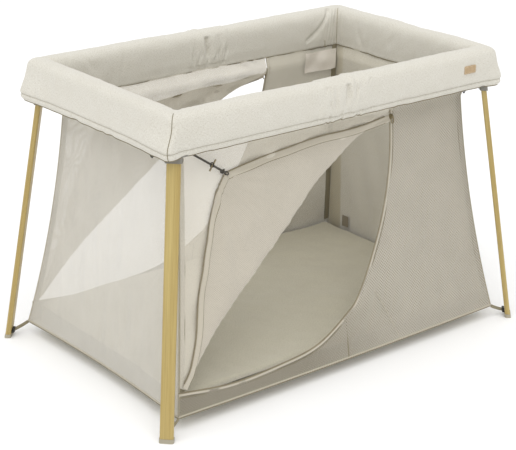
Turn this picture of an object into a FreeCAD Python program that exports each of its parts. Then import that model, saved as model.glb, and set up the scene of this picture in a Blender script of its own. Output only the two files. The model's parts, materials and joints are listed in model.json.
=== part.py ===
import FreeCAD, Part
import math
import os
from FreeCAD import Matrix, Placement
from FreeCAD import Vector as V

# Folding playpen: padded top rail on four splayed wooden legs, with a mesh tub hung inside.
# Millimetres. Origin on the floor under the centre, +X along the long side, +Y to the back, +Z up.
# The pen is the same at the front and the back, so back pieces are front pieces mirrored in Y.

# ---- driving dimensions -------------------------------------------------------------------
RAIL_X, RAIL_Y, RAIL_Z = 436.0, 249.0, 632.0   # centre line of the top rail tubes
TUBE_R, TUBE_WALL = 11.0, 1.5                  # steel rail tube
PAD_BOTTOM, PAD_TOP = 584.0, 679.0             # padded rail cover
PAD_OUT, PAD_IN = 31.0, 25.0                   # cover faces, outside and inside the rail's centre line
PAD_CORNER_OUT, PAD_CORNER_IN = 30.0, 12.0     # plan radii of the rail's corners
PAD_ROUND = 20.0                               # rounding of the cover's long edges

LEG_TOP_X, LEG_TOP_Y, LEG_TOP_Z = 444.0, 256.0, 572.0  # leg centre where it leaves its collar
FOOT_X, FOOT_Y = 515.0, 321.0                  # leg centre on the floor
LEG_WIDTH, LEG_THICK, LEG_ROUND = 29.0, 12.5, 3.5
LEG_END_Z = 612.0                              # top of the leg, inside its corner bracket
COLLAR_WIDTH, COLLAR_THICK = 36.0, 19.0
COLLAR_Z0, COLLAR_Z1 = 575.5, 586.5
CAP_HEIGHT, CAP_FLOOR, CAP_WALL = 9.0, 3.0, 1.2

TUB_Z0, TUB_X0, TUB_Y0 = 31.0, 472.0, 303.0    # mesh tub at its lower edge
TUB_Z1, TUB_X1, TUB_Y1 = 560.0, 407.0, 218.0   # mesh tub below the rail
TUB_Z2, TUB_X2, TUB_Y2 = 583.4, 416.0, 229.0   # mesh tub where it is sewn to the cover
CLOTH = 2.0                                    # thickness of the mesh and its binding

CORNER_PIVOT_X, CORNER_PIVOT_Z = 400.0, 593.0  # hinge beside each corner, low in the rail
CENTRE_PIVOT_Z = 672.0                         # hinge at the middle, high in the rail
HINGE_TILT = 8.0                               # degrees: folded rails splay out like the legs
FOLD_ANGLE = 80.0                              # degrees that each half rail drops
PIN_R = 3.0
PIN_PLAY = 0.05                                # radial clearance of a hinge pin
GAP = 0.4                                      # clearance between a cover and what is inside it

PAD_SPLIT_END, PAD_SPLIT_HALF, PAD_CENTRE = 412.0, 394.0, 9.0   # ends of the cover's sections

MATTRESS_X, MATTRESS_Y, MATTRESS_Z0, MATTRESS_Z1 = 446.0, 277.0, 4.7, 86.0
ZIP_TOP, ZIP_STRAIGHT_END = (181.0, 556.0), (168.0, 440.0)      # straight upper stretch, as (x, z)
ZIP_CURVE = [ZIP_STRAIGHT_END, (128, 310), (54, 174), (0, 127), (-88, 84), (-200, 70), (-330, 66), (-445, 80)]
FOLD_LINE = [(172.5, 548), (79, 521), (7, 481), (-57, 441), (-130, 378), (-230, 296), (-349, 195), (-446, 86)]
FLAP_UPPER_EDGE = [(160, 550), (74, 541), (-33, 541), (-127, 533), (-219, 524), (-292, 512)]
FLAP_LEFT_EDGE = [(-292, 512), (-371, 366), (-404, 279), (-432, 190), (-440, 96)]
CORD_R = 2.5
CORD_TOP, CORD_TIP = V(-383, -232.5, 575), V(-297, -232.5, 517)  # tie cord, from the rail to the flap

X, Y, Z = V(1, 0, 0), V(0, 1, 0), V(0, 0, 1)
ORIGIN = V(0, 0, 0)
FAR = 700.0


# ---- helpers ------------------------------------------------------------------------------
def box(x0, x1, y0, y1, z0, z1):
    return Part.makeBox(x1 - x0, y1 - y0, z1 - z0, V(x0, y0, z0))


def rod(radius, start, end):
    run = end - start
    return Part.makeCylinder(radius, run.Length, start, run)


def mirror_x(shape):
    return shape.mirror(ORIGIN, X)


def mirror_y(shape):
    return shape.mirror(ORIGIN, Y)


def place(shape, origin, ex, ey, ez):
    """Move a shape drawn on the axes to the local frame (origin; ex, ey, ez)."""
    frame = Matrix(ex.x, ey.x, ez.x, origin.x,
                   ex.y, ey.y, ez.y, origin.y,
                   ex.z, ey.z, ez.z, origin.z,
                   0, 0, 0, 1)
    moved = shape.copy()
    moved.Placement = Placement(frame).multiply(shape.Placement)
    return moved


def prism(outline, y0, y1):
    """A plate with a polygon outline in (x, z), between two planes of constant y."""
    wire = Part.makePolygon([V(x, y0, z) for x, z in outline + outline[:1]])
    return Part.Face(wire).extrude(V(0, y1 - y0, 0))


def rounded_bar(width, thick, radius, z0, z1):
    """A bar along Z with a rounded rectangular section, centred on the Z axis."""
    bar = box(-width / 2, width / 2, -thick / 2, thick / 2, z0, z1)
    upright = [e for e in bar.Edges if abs(e.tangentAt(e.FirstParameter).z) > 0.99]
    return bar.makeFillet(radius, upright)


def frustum(z0, x0, y0, z1, x1, y1):
    """A block between two rectangles centred on the Z axis, given by their half sides."""
    rings = []
    for z, hx, hy in ((z0, x0, y0), (z1, x1, y1)):
        corners = [V(-hx, -hy, z), V(hx, -hy, z), V(hx, hy, z), V(-hx, hy, z), V(-hx, -hy, z)]
        rings.append(Part.makePolygon(corners))
    return Part.makeLoft(rings, True, True)


def tub(dx, dy):
    """The space that the mesh tub encloses, grown by dx and dy."""
    lower = frustum(TUB_Z0, TUB_X0 + dx, TUB_Y0 + dy, TUB_Z1, TUB_X1 + dx, TUB_Y1 + dy)
    upper = frustum(TUB_Z1, TUB_X1 + dx, TUB_Y1 + dy, TUB_Z2, TUB_X2 + dx, TUB_Y2 + dy)
    return lower.fuse(upper).removeSplitter()


def front_half(shape):
    return shape.common(box(-FAR, FAR, -FAR, 0, -10, FAR))


def curve(points):
    """A smooth edge through (x, z) points, drawn in the plane y = 0."""
    spline = Part.BSplineCurve()
    spline.interpolate([V(x, 0, z) for x, z in points])
    return spline.toShape()


def polyline(points):
    return [Part.makeLine(V(*a), V(*b)) for a, b in zip(points, points[1:])]


def through_front(edges):
    """A prism along Y, through the front wall, with a closed outline of edges drawn at y = 0."""
    face = Part.Face(Part.Wire(Part.__sortEdges__(edges)))
    return face.extrude(V(0, -FAR, 0))


def shifted(points, distance):
    """Points moved sideways from the line through them, to its left when distance is positive."""
    moved = []
    for i, (x, z) in enumerate(points):
        (xa, za), (xb, zb) = points[max(i - 1, 0)], points[min(i + 1, len(points) - 1)]
        run = math.hypot(xb - xa, zb - za)
        moved.append((x - (zb - za) / run * distance, z + (xb - xa) / run * distance))
    return moved


def solids(*shapes):
    """Several separate solids in one node."""
    return Part.makeCompound([s for shape in shapes for s in shape.Solids])


def export(name, shape):
    shape = shape.removeSplitter() if shape.ShapeType == "Solid" else shape
    for solid in shape.Solids:
        assert solid.isValid() and solid.Volume > 1, name
    shape.exportStep("parts/" + name + ".step")
    print(f"{name:28s} {len(shape.Solids)} solid(s) {shape.Volume / 1000:9.1f} cm3")


# ---- frames that tilted pieces are drawn in -------------------------------------------------
tilt = math.radians(HINGE_TILT)
HINGE_N = V(0, math.cos(tilt), -math.sin(tilt))    # along a front hinge pin
HINGE_U = V(0, math.sin(tilt), math.cos(tilt))     # square to the pin, in the plane the rail folds in
CORNER_PIVOT = V(CORNER_PIVOT_X, -RAIL_Y, CORNER_PIVOT_Z)
CENTRE_PIVOT = V(0, -RAIL_Y, CENTRE_PIVOT_Z)


def at_hinge(shape, pivot):
    return place(shape, pivot, X, HINGE_N, HINGE_U)


leg_foot = V(FOOT_X, -FOOT_Y, 0)
leg_axis = V(LEG_TOP_X, -LEG_TOP_Y, LEG_TOP_Z) - leg_foot
LEG_LENGTH = leg_axis.Length * LEG_END_Z / LEG_TOP_Z
leg_axis.normalize()
leg_across = leg_axis.cross(V(1, -1, 0))           # along the leg's broad face
leg_across.normalize()
leg_out = leg_across.cross(leg_axis)               # out of its broad face, to the pen's outside
if leg_out.x < 0:
    leg_out, leg_across = leg_out * -1, leg_across * -1


def on_front_right_leg(shape):
    return place(shape, leg_foot, leg_across, leg_out, leg_across.cross(leg_out))


leg_up = 1 if leg_across.cross(leg_out).z > 0 else -1


def leg_bar(grow, z0, z1, width=LEG_WIDTH, thick=LEG_THICK, radius=LEG_ROUND):
    """Part of the front right leg's bar, grown all round, between two heights."""
    bar = rounded_bar(width + 2 * grow, thick + 2 * grow, radius + grow, -60, LEG_LENGTH + 60)
    if leg_up < 0:
        bar = bar.mirror(ORIGIN, Z)
    return on_front_right_leg(bar).common(box(0, FAR, -FAR, 0, z0, z1))


def leg_centre(z):
    return leg_foot + leg_axis * (z / leg_axis.z)


# ---- front right corner: bracket, leg, collar, cap, screw, pin ------------------------------
def corner_bracket():
    block = box(416, 459, -271, -229, 587, 655)
    upright = [e for e in block.Edges if abs(e.tangentAt(e.FirstParameter).z) > 0.99]
    block = block.makeFillet(6, upright)
    lug_inner, lug_outer = 2.6, 6.6
    lug = box(0, 18, lug_inner, lug_outer, -5.5, 12)
    lug = lug.fuse(rod(7, V(0, lug_inner, 0), V(0, lug_outer, 0)))
    for ear in (lug, mirror_y(lug)):
        block = block.fuse(at_hinge(ear, CORNER_PIVOT))
    pin_hole = rod(PIN_R + PIN_PLAY, V(0, -20, 0), V(0, 20, 0))
    tube_hole = rod(TUBE_R + PIN_PLAY, V(RAIL_X, -241, RAIL_Z), V(RAIL_X, -200, RAIL_Z))
    block = block.cut(at_hinge(pin_hole, CORNER_PIVOT)).cut(tube_hole)
    return block.cut(leg_bar(0.2, 580, LEG_END_Z + 0.3))


def hinge_pin(pivot, half_length):
    pin = rod(PIN_R, V(0, -half_length, 0), V(0, half_length, 0))
    return at_hinge(pin, pivot)


def leg_screw(grow=0.0):
    """Screw from the inner side, through the collar into the leg."""
    middle = leg_centre((COLLAR_Z0 + COLLAR_Z1) / 2 - 1)
    face = middle - leg_out * (COLLAR_THICK / 2)
    shank = rod(2.0 + grow, face - leg_out * 0.5, face + leg_out * 12)
    head = rod(4.2 + grow, face - leg_out * 2.2, face)
    return shank.fuse(head)


leg = leg_bar(0, CAP_FLOOR, LEG_END_Z).cut(leg_screw(0.05))
collar = leg_bar(0, COLLAR_Z0, COLLAR_Z1, COLLAR_WIDTH, COLLAR_THICK, 5)
collar = collar.cut(leg_bar(0.15, 500, FAR)).cut(leg_screw(0.05))
foot_cap = leg_bar(CAP_WALL, 0, CAP_HEIGHT).cut(leg_bar(0.1, CAP_FLOOR - 0.1, 100))
bracket = corner_bracket()

# ---- rail tubes -----------------------------------------------------------------------------
end_tube = rod(TUBE_R, V(RAIL_X, -240, RAIL_Z), V(RAIL_X, 240, RAIL_Z))
end_tube = end_tube.cut(rod(TUBE_R - TUBE_WALL, V(RAIL_X, -300, RAIL_Z), V(RAIL_X, 300, RAIL_Z)))

TUBE_START, TUBE_END = 12.0, 384.0
PLATE = 2.3                                        # half thickness of a hinge tongue
FORK_INNER, FORK_OUTER = 2.6, 6.2


def hinge_arm(outline, knuckle, n0, n1):
    return prism(outline, n0, n1).fuse(rod(knuckle, V(0, n0, 0), V(0, n1, 0)))


def half_tube(fork):
    """Front right half of the long rail: tube with a tongue at the corner and, at the centre,
    a tongue, or a fork when it is going to be mirrored to make the left half."""
    line = (V(TUBE_START, -RAIL_Y, RAIL_Z), V(TUBE_END, -RAIL_Y, RAIL_Z))
    tube = rod(TUBE_R, *line)
    corner = [(6.3, 0), (-15.5, 48), (-45, 48), (-45, 30), (-24, 28), (-6.3, -1)]
    tube = tube.fuse(at_hinge(hinge_arm(corner, 6.5, -PLATE, PLATE), CORNER_PIVOT))
    centre = [(-5.3, -1), (5.3, 0.3), (16, -27), (45, -31), (45, -50), (13, -50)]
    spans = [(FORK_INNER, FORK_OUTER), (-FORK_OUTER, -FORK_INNER)] if fork else [(-PLATE, PLATE)]
    for n0, n1 in spans:
        tube = tube.fuse(at_hinge(hinge_arm(centre, 5.5, n0, n1), CENTRE_PIVOT))
    if fork:
        tube = tube.fuse(box(4, 44, -RAIL_Y - 8, -RAIL_Y + 8, 600, 624))
    bore = rod(TUBE_R - TUBE_WALL, V(TUBE_START - 20, -RAIL_Y, RAIL_Z), V(TUBE_END + 20, -RAIL_Y, RAIL_Z))
    tube = tube.cut(bore)
    pin_hole = rod(PIN_R + PIN_PLAY, V(0, -20, 0), V(0, 20, 0))
    return tube.cut(at_hinge(pin_hole, CORNER_PIVOT)).cut(at_hinge(pin_hole, CENTRE_PIVOT))


# ---- centre lock under the right half rail ---------------------------------------------------
BUTTON_X, BUTTON_R, BUTTON_TRAVEL = 34.0, 7.5, 3.0
LOCK = (13, 55, -RAIL_Y - 11, -RAIL_Y + 11, 594, 620.5)


def release_button():
    button = rod(BUTTON_R, V(BUTTON_X, -RAIL_Y, 580.5), V(BUTTON_X, -RAIL_Y, 597))
    rim = [e for e in button.Edges if e.BoundBox.ZMax < 581]
    return button.makeFillet(1.5, rim)


def lock_housing():
    body = box(*LOCK).fuse(box(5, 14, -RAIL_Y - 6, -RAIL_Y + 6, 602, 614))
    well = rod(BUTTON_R + 0.3, V(BUTTON_X, -RAIL_Y, 590), V(BUTTON_X, -RAIL_Y, 597 + BUTTON_TRAVEL + 3))
    tube = rod(TUBE_R + 0.1, V(0, -RAIL_Y, RAIL_Z), V(100, -RAIL_Y, RAIL_Z))
    arm = at_hinge(box(-10, 50, -PLATE - 0.2, PLATE + 0.2, -52, 0), CENTRE_PIVOT)
    return body.cut(well).cut(tube).cut(arm)


# ---- padded covers ---------------------------------------------------------------------------
def cover_ring():
    """The whole padded rail as one ring, before it is divided."""
    x_out, y_out = RAIL_X + PAD_OUT, RAIL_Y + PAD_OUT
    x_in, y_in = RAIL_X - PAD_IN, RAIL_Y - PAD_IN
    outer = rounded_bar(2 * x_out, 2 * y_out, PAD_CORNER_OUT, PAD_BOTTOM, PAD_TOP)
    inner = rounded_bar(2 * x_in, 2 * y_in, PAD_CORNER_IN, PAD_BOTTOM - 1, PAD_TOP + 1)
    ring = outer.cut(inner)
    flat = [e for e in ring.Edges if e.BoundBox.ZLength < 0.01]
    return ring.makeFillet(PAD_ROUND, flat)


def end_cover(ring):
    pad = ring.common(box(PAD_SPLIT_END, FAR, -FAR, FAR, 0, FAR))
    pad = pad.cut(rod(TUBE_R + GAP, V(RAIL_X, -RAIL_Y, RAIL_Z), V(RAIL_X, RAIL_Y, RAIL_Z)))
    pocket = box(416 - GAP, 459 + GAP, -271 - GAP, -229 + GAP, 580, 655 + GAP)
    pocket = pocket.fuse(box(405, 430, -RAIL_Y - 9, -RAIL_Y + 9, 580, 612))
    pocket = pocket.fuse(leg_bar(GAP, 580, COLLAR_Z1 + GAP, COLLAR_WIDTH, COLLAR_THICK, 5))
    return pad.cut(pocket).cut(mirror_y(pocket))


def half_cover(ring, fork):
    """Front right half cover; the one with room for the fork is mirrored for the left."""
    pad = ring.common(box(PAD_CENTRE, PAD_SPLIT_HALF, -FAR, 0, 0, FAR))
    pad = pad.cut(rod(TUBE_R + GAP, V(0, -RAIL_Y, RAIL_Z), V(FAR, -RAIL_Y, RAIL_Z)))
    pad = pad.cut(at_hinge(box(-62, 10, -8, 8, -12, 53), CORNER_PIVOT))
    pad = pad.cut(at_hinge(box(-8, 50, -8, 8, -53, 20), CENTRE_PIVOT))
    if fork:
        pad = pad.cut(box(0, 44 + GAP, -RAIL_Y - 8 - GAP, -RAIL_Y + 8 + GAP, 600 - GAP, 640))
    else:
        x0, x1, y0, y1, z0, z1 = LOCK
        pad = pad.cut(box(x0 - 10, x1 + GAP, y0 - GAP, y1 + GAP, z0 - GAP, z1 + GAP))
        pad = pad.cut(rod(BUTTON_R + 0.8, V(BUTTON_X, -RAIL_Y, 570), V(BUTTON_X, -RAIL_Y, 600)))
    relief = box(-20, 200, -60, 60, 0, 60)
    relief.rotate(ORIGIN, Y, -(90 - FOLD_ANGLE))
    relief.translate(V(0, 0, -0.6))
    return pad.cut(at_hinge(relief, CENTRE_PIVOT))


# ---- mesh tub --------------------------------------------------------------------------------
ZIP_INSET, ZIP_REACH, ZIP_PROUD = 5.0, 3.0, 0.6     # tape either side of the teeth, and its relief
zip_line = [ZIP_TOP, ZIP_STRAIGHT_END]


def zip_edges(offset):
    """Edges along the zip, moved sideways, with a straight stretch at the top."""
    top, straight_end = shifted(zip_line, offset)
    rounded = shifted(ZIP_CURVE, offset)
    rounded[0] = straight_end
    above = (top[0] + (top[0] - straight_end[0]) * 0.3, top[1] + (top[1] - straight_end[1]) * 0.3)
    return [Part.makeLine(V(above[0], 0, above[1]), V(straight_end[0], 0, straight_end[1])),
            curve(rounded)], above, rounded[-1]


def fixed_region():
    """Everything on the front wall that stays when the door is unzipped."""
    edges, start, end = zip_edges(ZIP_INSET)
    around = [(end[0], 0, end[1]), (-FAR, 0, end[1]), (-FAR, 0, -20), (FAR, 0, -20),
              (FAR, 0, FAR), (start[0], 0, FAR), (start[0], 0, start[1])]
    return through_front(edges + polyline(around))


def zip_region():
    edges_a, start_a, end_a = zip_edges(ZIP_INSET)
    edges_b, start_b, end_b = zip_edges(-ZIP_REACH)
    caps = [Part.makeLine(V(a[0], 0, a[1]), V(b[0], 0, b[1])) for a, b in ((start_a, start_b), (end_a, end_b))]
    return through_front(edges_a + edges_b + caps)


def flap_region():
    """The part of the door that still hangs, above the line it is folded back along."""
    (x0, z0), (x1, z1) = FOLD_LINE[0], FOLD_LINE[-1]
    around = [(x1, 0, z1), (-FAR, 0, z1), (-FAR, 0, FAR), (x0, 0, FAR), (x0, 0, z0)]
    return through_front([curve(FOLD_LINE)] + polyline(around))


def folded_region():
    (x0, z0), (x1, z1) = FOLD_LINE[0], FOLD_LINE[-1]
    (xa, za), (xb, zb) = FLAP_UPPER_EDGE[0], FLAP_LEFT_EDGE[-1]
    ends = [Part.makeLine(V(xa, 0, za), V(x0 - 4, 0, z0 - 4)), Part.makeLine(V(xb, 0, zb), V(x1 + 8, 0, z1 + 8))]
    fold = [(x0 - 4, z0 - 4)] + FOLD_LINE[1:-1] + [(x1 + 8, z1 + 8)]
    return through_front([curve(FLAP_UPPER_EDGE), curve(FLAP_LEFT_EDGE), curve(fold)] + ends)


SHEET_THICK, PAN_RUN = 2.4, 100.0


def pan_block(z0):
    return frustum(z0, TUB_X0 - PAN_RUN, TUB_Y0 - PAN_RUN,
                   z0 + TUB_Z0 - 2.2, TUB_X0 - 0.2, TUB_Y0 - 0.2)


def floor_sheet():
    """A shallow pan: flat on the ground in the middle, rising to the tub's lower edge."""
    pan = pan_block(2)
    return pan.cut(pan_block(2 + SHEET_THICK))


def mattress():
    pad = rounded_bar(2 * MATTRESS_X, 2 * MATTRESS_Y, 20, MATTRESS_Z0, MATTRESS_Z1)
    flat = [e for e in pad.Edges if e.BoundBox.ZLength < 0.01]
    above = box(-FAR, FAR, -FAR, FAR, TUB_Z0, FAR)
    return pad.makeFillet(9, flat).common(pan_block(SHEET_THICK + 2.4).fuse(above))


# ---- corner straps ---------------------------------------------------------------------------
CLIP_Z0, CLIP_Z1, CLIP_DEPTH = 10.5, 22.0, 6.0


def strap_clip():
    clip = rounded_bar(14, CLIP_DEPTH, 2, -60, 200)
    clip.translate(V(0, -LEG_THICK / 2 - CLIP_DEPTH / 2 - 0.2, 0))
    return on_front_right_leg(clip).common(box(0, FAR, -FAR, 0, CLIP_Z0, CLIP_Z1))


def corner_strap():
    """Webbing that slopes from the tub's corner down to the clip on the leg."""
    start = V(TUB_X0 + 0.6, -TUB_Y0 - 0.6, TUB_Z0)
    run = V(33.4, -9.3, -15)
    strap = box(0, run.Length, -1, 1, -4, 4)
    along = V(run).normalize()
    across = Z.cross(along).normalize()
    return place(strap, start, along, across, along.cross(across)).cut(strap_clip())


# ---- zip slider and its pull -----------------------------------------------------------------
wall_slope = (TUB_Y0 - TUB_Y1) / (TUB_Z1 - TUB_Z0)


def on_front_wall(x, z, out=0.0):
    """A point on the middle of the front wall's thickness, moved out of it."""
    y = -(TUB_Y1 + wall_slope * (TUB_Z1 - z)) + CLOTH / 2
    return V(x, y, z) + WALL_OUT * out


WALL_OUT = V(0, -1, wall_slope).normalize()
ZIP_DOWN = (on_front_wall(*ZIP_STRAIGHT_END) - on_front_wall(*ZIP_TOP)).normalize()
ZIP_SIDE = ZIP_DOWN.cross(WALL_OUT)                 # towards the fixed side of the zip
if ZIP_SIDE.x < 0:
    ZIP_SIDE = ZIP_SIDE * -1
SLIDER_AT = on_front_wall(*ZIP_TOP) + ZIP_DOWN * 9
PULL_PIVOT_OUT, PULL_PIN_R = 6.2, 0.9


def on_slider(shape):
    """Local axes: x to the fixed side of the zip, y into the pen, z up along the zip."""
    return place(shape, SLIDER_AT, ZIP_SIDE, WALL_OUT * -1, ZIP_DOWN * -1)


def zip_slider():
    body = rounded_bar(9.5, 8.4, 1.5, -6, 6)
    body.translate(V(-0.75, 0, 0))
    channel = box(-3.6, 10, -2.1, 2.1, -10, 10)
    body = body.cut(channel)
    for x0 in (-4.6, 2.2):
        body = body.fuse(box(x0, x0 + 1.2, -PULL_PIVOT_OUT - 1.6, -3.8, -2, 2))
    return on_slider(body.fuse(rod(PULL_PIN_R, V(-4, -PULL_PIVOT_OUT, 0), V(3, -PULL_PIVOT_OUT, 0))))


def zip_pull():
    eye = rod(1.8, V(-2.8, -PULL_PIVOT_OUT, 0), V(1.8, -PULL_PIVOT_OUT, 0))
    tab = box(-4.5, 3.5, -PULL_PIVOT_OUT - 0.8, -PULL_PIVOT_OUT + 0.8, -18, -2.6)
    tab = tab.makeFillet(2.5, [e for e in tab.Edges if abs(e.tangentAt(e.FirstParameter).y) > 0.99])
    tab = tab.cut(box(-2.5, 1.5, -20, 20, -15, -7))
    neck = box(-2.2, 1.2, -PULL_PIVOT_OUT - 0.8, -PULL_PIVOT_OUT + 0.8, -4, 0)
    hole = rod(PULL_PIN_R + PIN_PLAY, V(-10, -PULL_PIVOT_OUT, 0), V(10, -PULL_PIVOT_OUT, 0))
    return on_slider(eye.fuse(neck).fuse(tab).cut(hole))


# ---- write every piece -----------------------------------------------------------------------
os.makedirs("parts", exist_ok=True)

ring = cover_ring()
end_pad = end_cover(ring)
right_tube, left_tube = half_tube(False), mirror_x(half_tube(True))
right_pad, left_pad = half_cover(ring, False), mirror_x(half_cover(ring, True))

for side, turn_y in (("front", lambda s: s), ("back", mirror_y)):
    export(side + "_right_corner_bracket", turn_y(bracket))
    export(side + "_left_corner_bracket", turn_y(mirror_x(bracket)))
    export(side + "_right_leg", turn_y(leg))
    export(side + "_left_leg", turn_y(mirror_x(leg)))
    export(side + "_right_rail_tube", turn_y(right_tube))
    export(side + "_left_rail_tube", turn_y(left_tube))
    export(side + "_right_rail_pad", turn_y(right_pad))
    export(side + "_left_rail_pad", turn_y(left_pad))
    export(side + "_centre_hinge_pin", turn_y(hinge_pin(CENTRE_PIVOT, 7.5)))
    export(side + "_lock_housing", turn_y(lock_housing()))
    export(side + "_release_button", turn_y(release_button()))

for side, turn_x in (("right", lambda s: s), ("left", mirror_x)):
    export(side + "_end_tube", turn_x(end_tube))
    export(side + "_end_pad", turn_x(end_pad))
    corner_sets = {"leg_collars": collar, "foot_caps": foot_cap, "leg_screws": leg_screw(),
                   "corner_hinge_pins": hinge_pin(CORNER_PIVOT, 7.5),
                   "corner_straps": corner_strap(), "strap_clips": strap_clip()}
    for name, piece in corner_sets.items():
        export(side + "_" + name, solids(turn_x(piece), mirror_y(turn_x(piece))))

end_plates = tub(0, 0).cut(tub(-CLOTH, 50))
long_plate = front_half(tub(-CLOTH - 0.4, 0).cut(tub(50, -CLOTH)))
zip_plate = front_half(tub(-CLOTH - 0.4, ZIP_PROUD).cut(tub(50, -CLOTH - ZIP_PROUD)))
folded_plate = front_half(tub(-CLOTH - 0.4, CLOTH + 1).cut(tub(50, 1)))
under_rail = box(-FAR, FAR, -FAR, 0, 0, TUB_Z1 - 1)
zip_prism = zip_region()

wall = long_plate.common(fixed_region())
zip_tape = zip_plate.common(zip_prism).common(under_rail)
hung_flap = long_plate.common(flap_region()).cut(zip_prism)
folded_flap = folded_plate.common(folded_region()).common(under_rail).cut(zip_prism)

export("right_end_mesh", end_plates.common(box(0, FAR, -FAR, FAR, 0, FAR)))
export("left_end_mesh", end_plates.common(box(-FAR, 0, -FAR, FAR, 0, FAR)))
export("floor_sheet", floor_sheet())
export("mattress", mattress())

bar_middle = CORD_TOP + (CORD_TIP - CORD_TOP) * 0.58 + V(0, -CORD_R - 2.0, 0)
bar_half = V(8, 0, 11)
front_pieces = {
    "mesh_wall": wall,
    "zip_tape": zip_tape,
    "door_flap": hung_flap,
    "folded_flap": folded_flap,
    "zip_slider": zip_slider(),
    "zip_pull": zip_pull(),
    "tie_cord": rod(CORD_R, CORD_TOP, CORD_TIP),
    "tie_toggle": rod(1.8, bar_middle - bar_half, bar_middle + bar_half),
}
for name, piece in front_pieces.items():
    export("front_" + name, piece)
    export("back_" + name, mirror_y(piece))

label_face = -RAIL_Y - PAD_OUT
export("rail_label", box(349, 385, label_face - 1.4, label_face - 0.2, 630, 648))
export("care_tag", box(298, 400, 211.5, 213, 531, 582))
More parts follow.
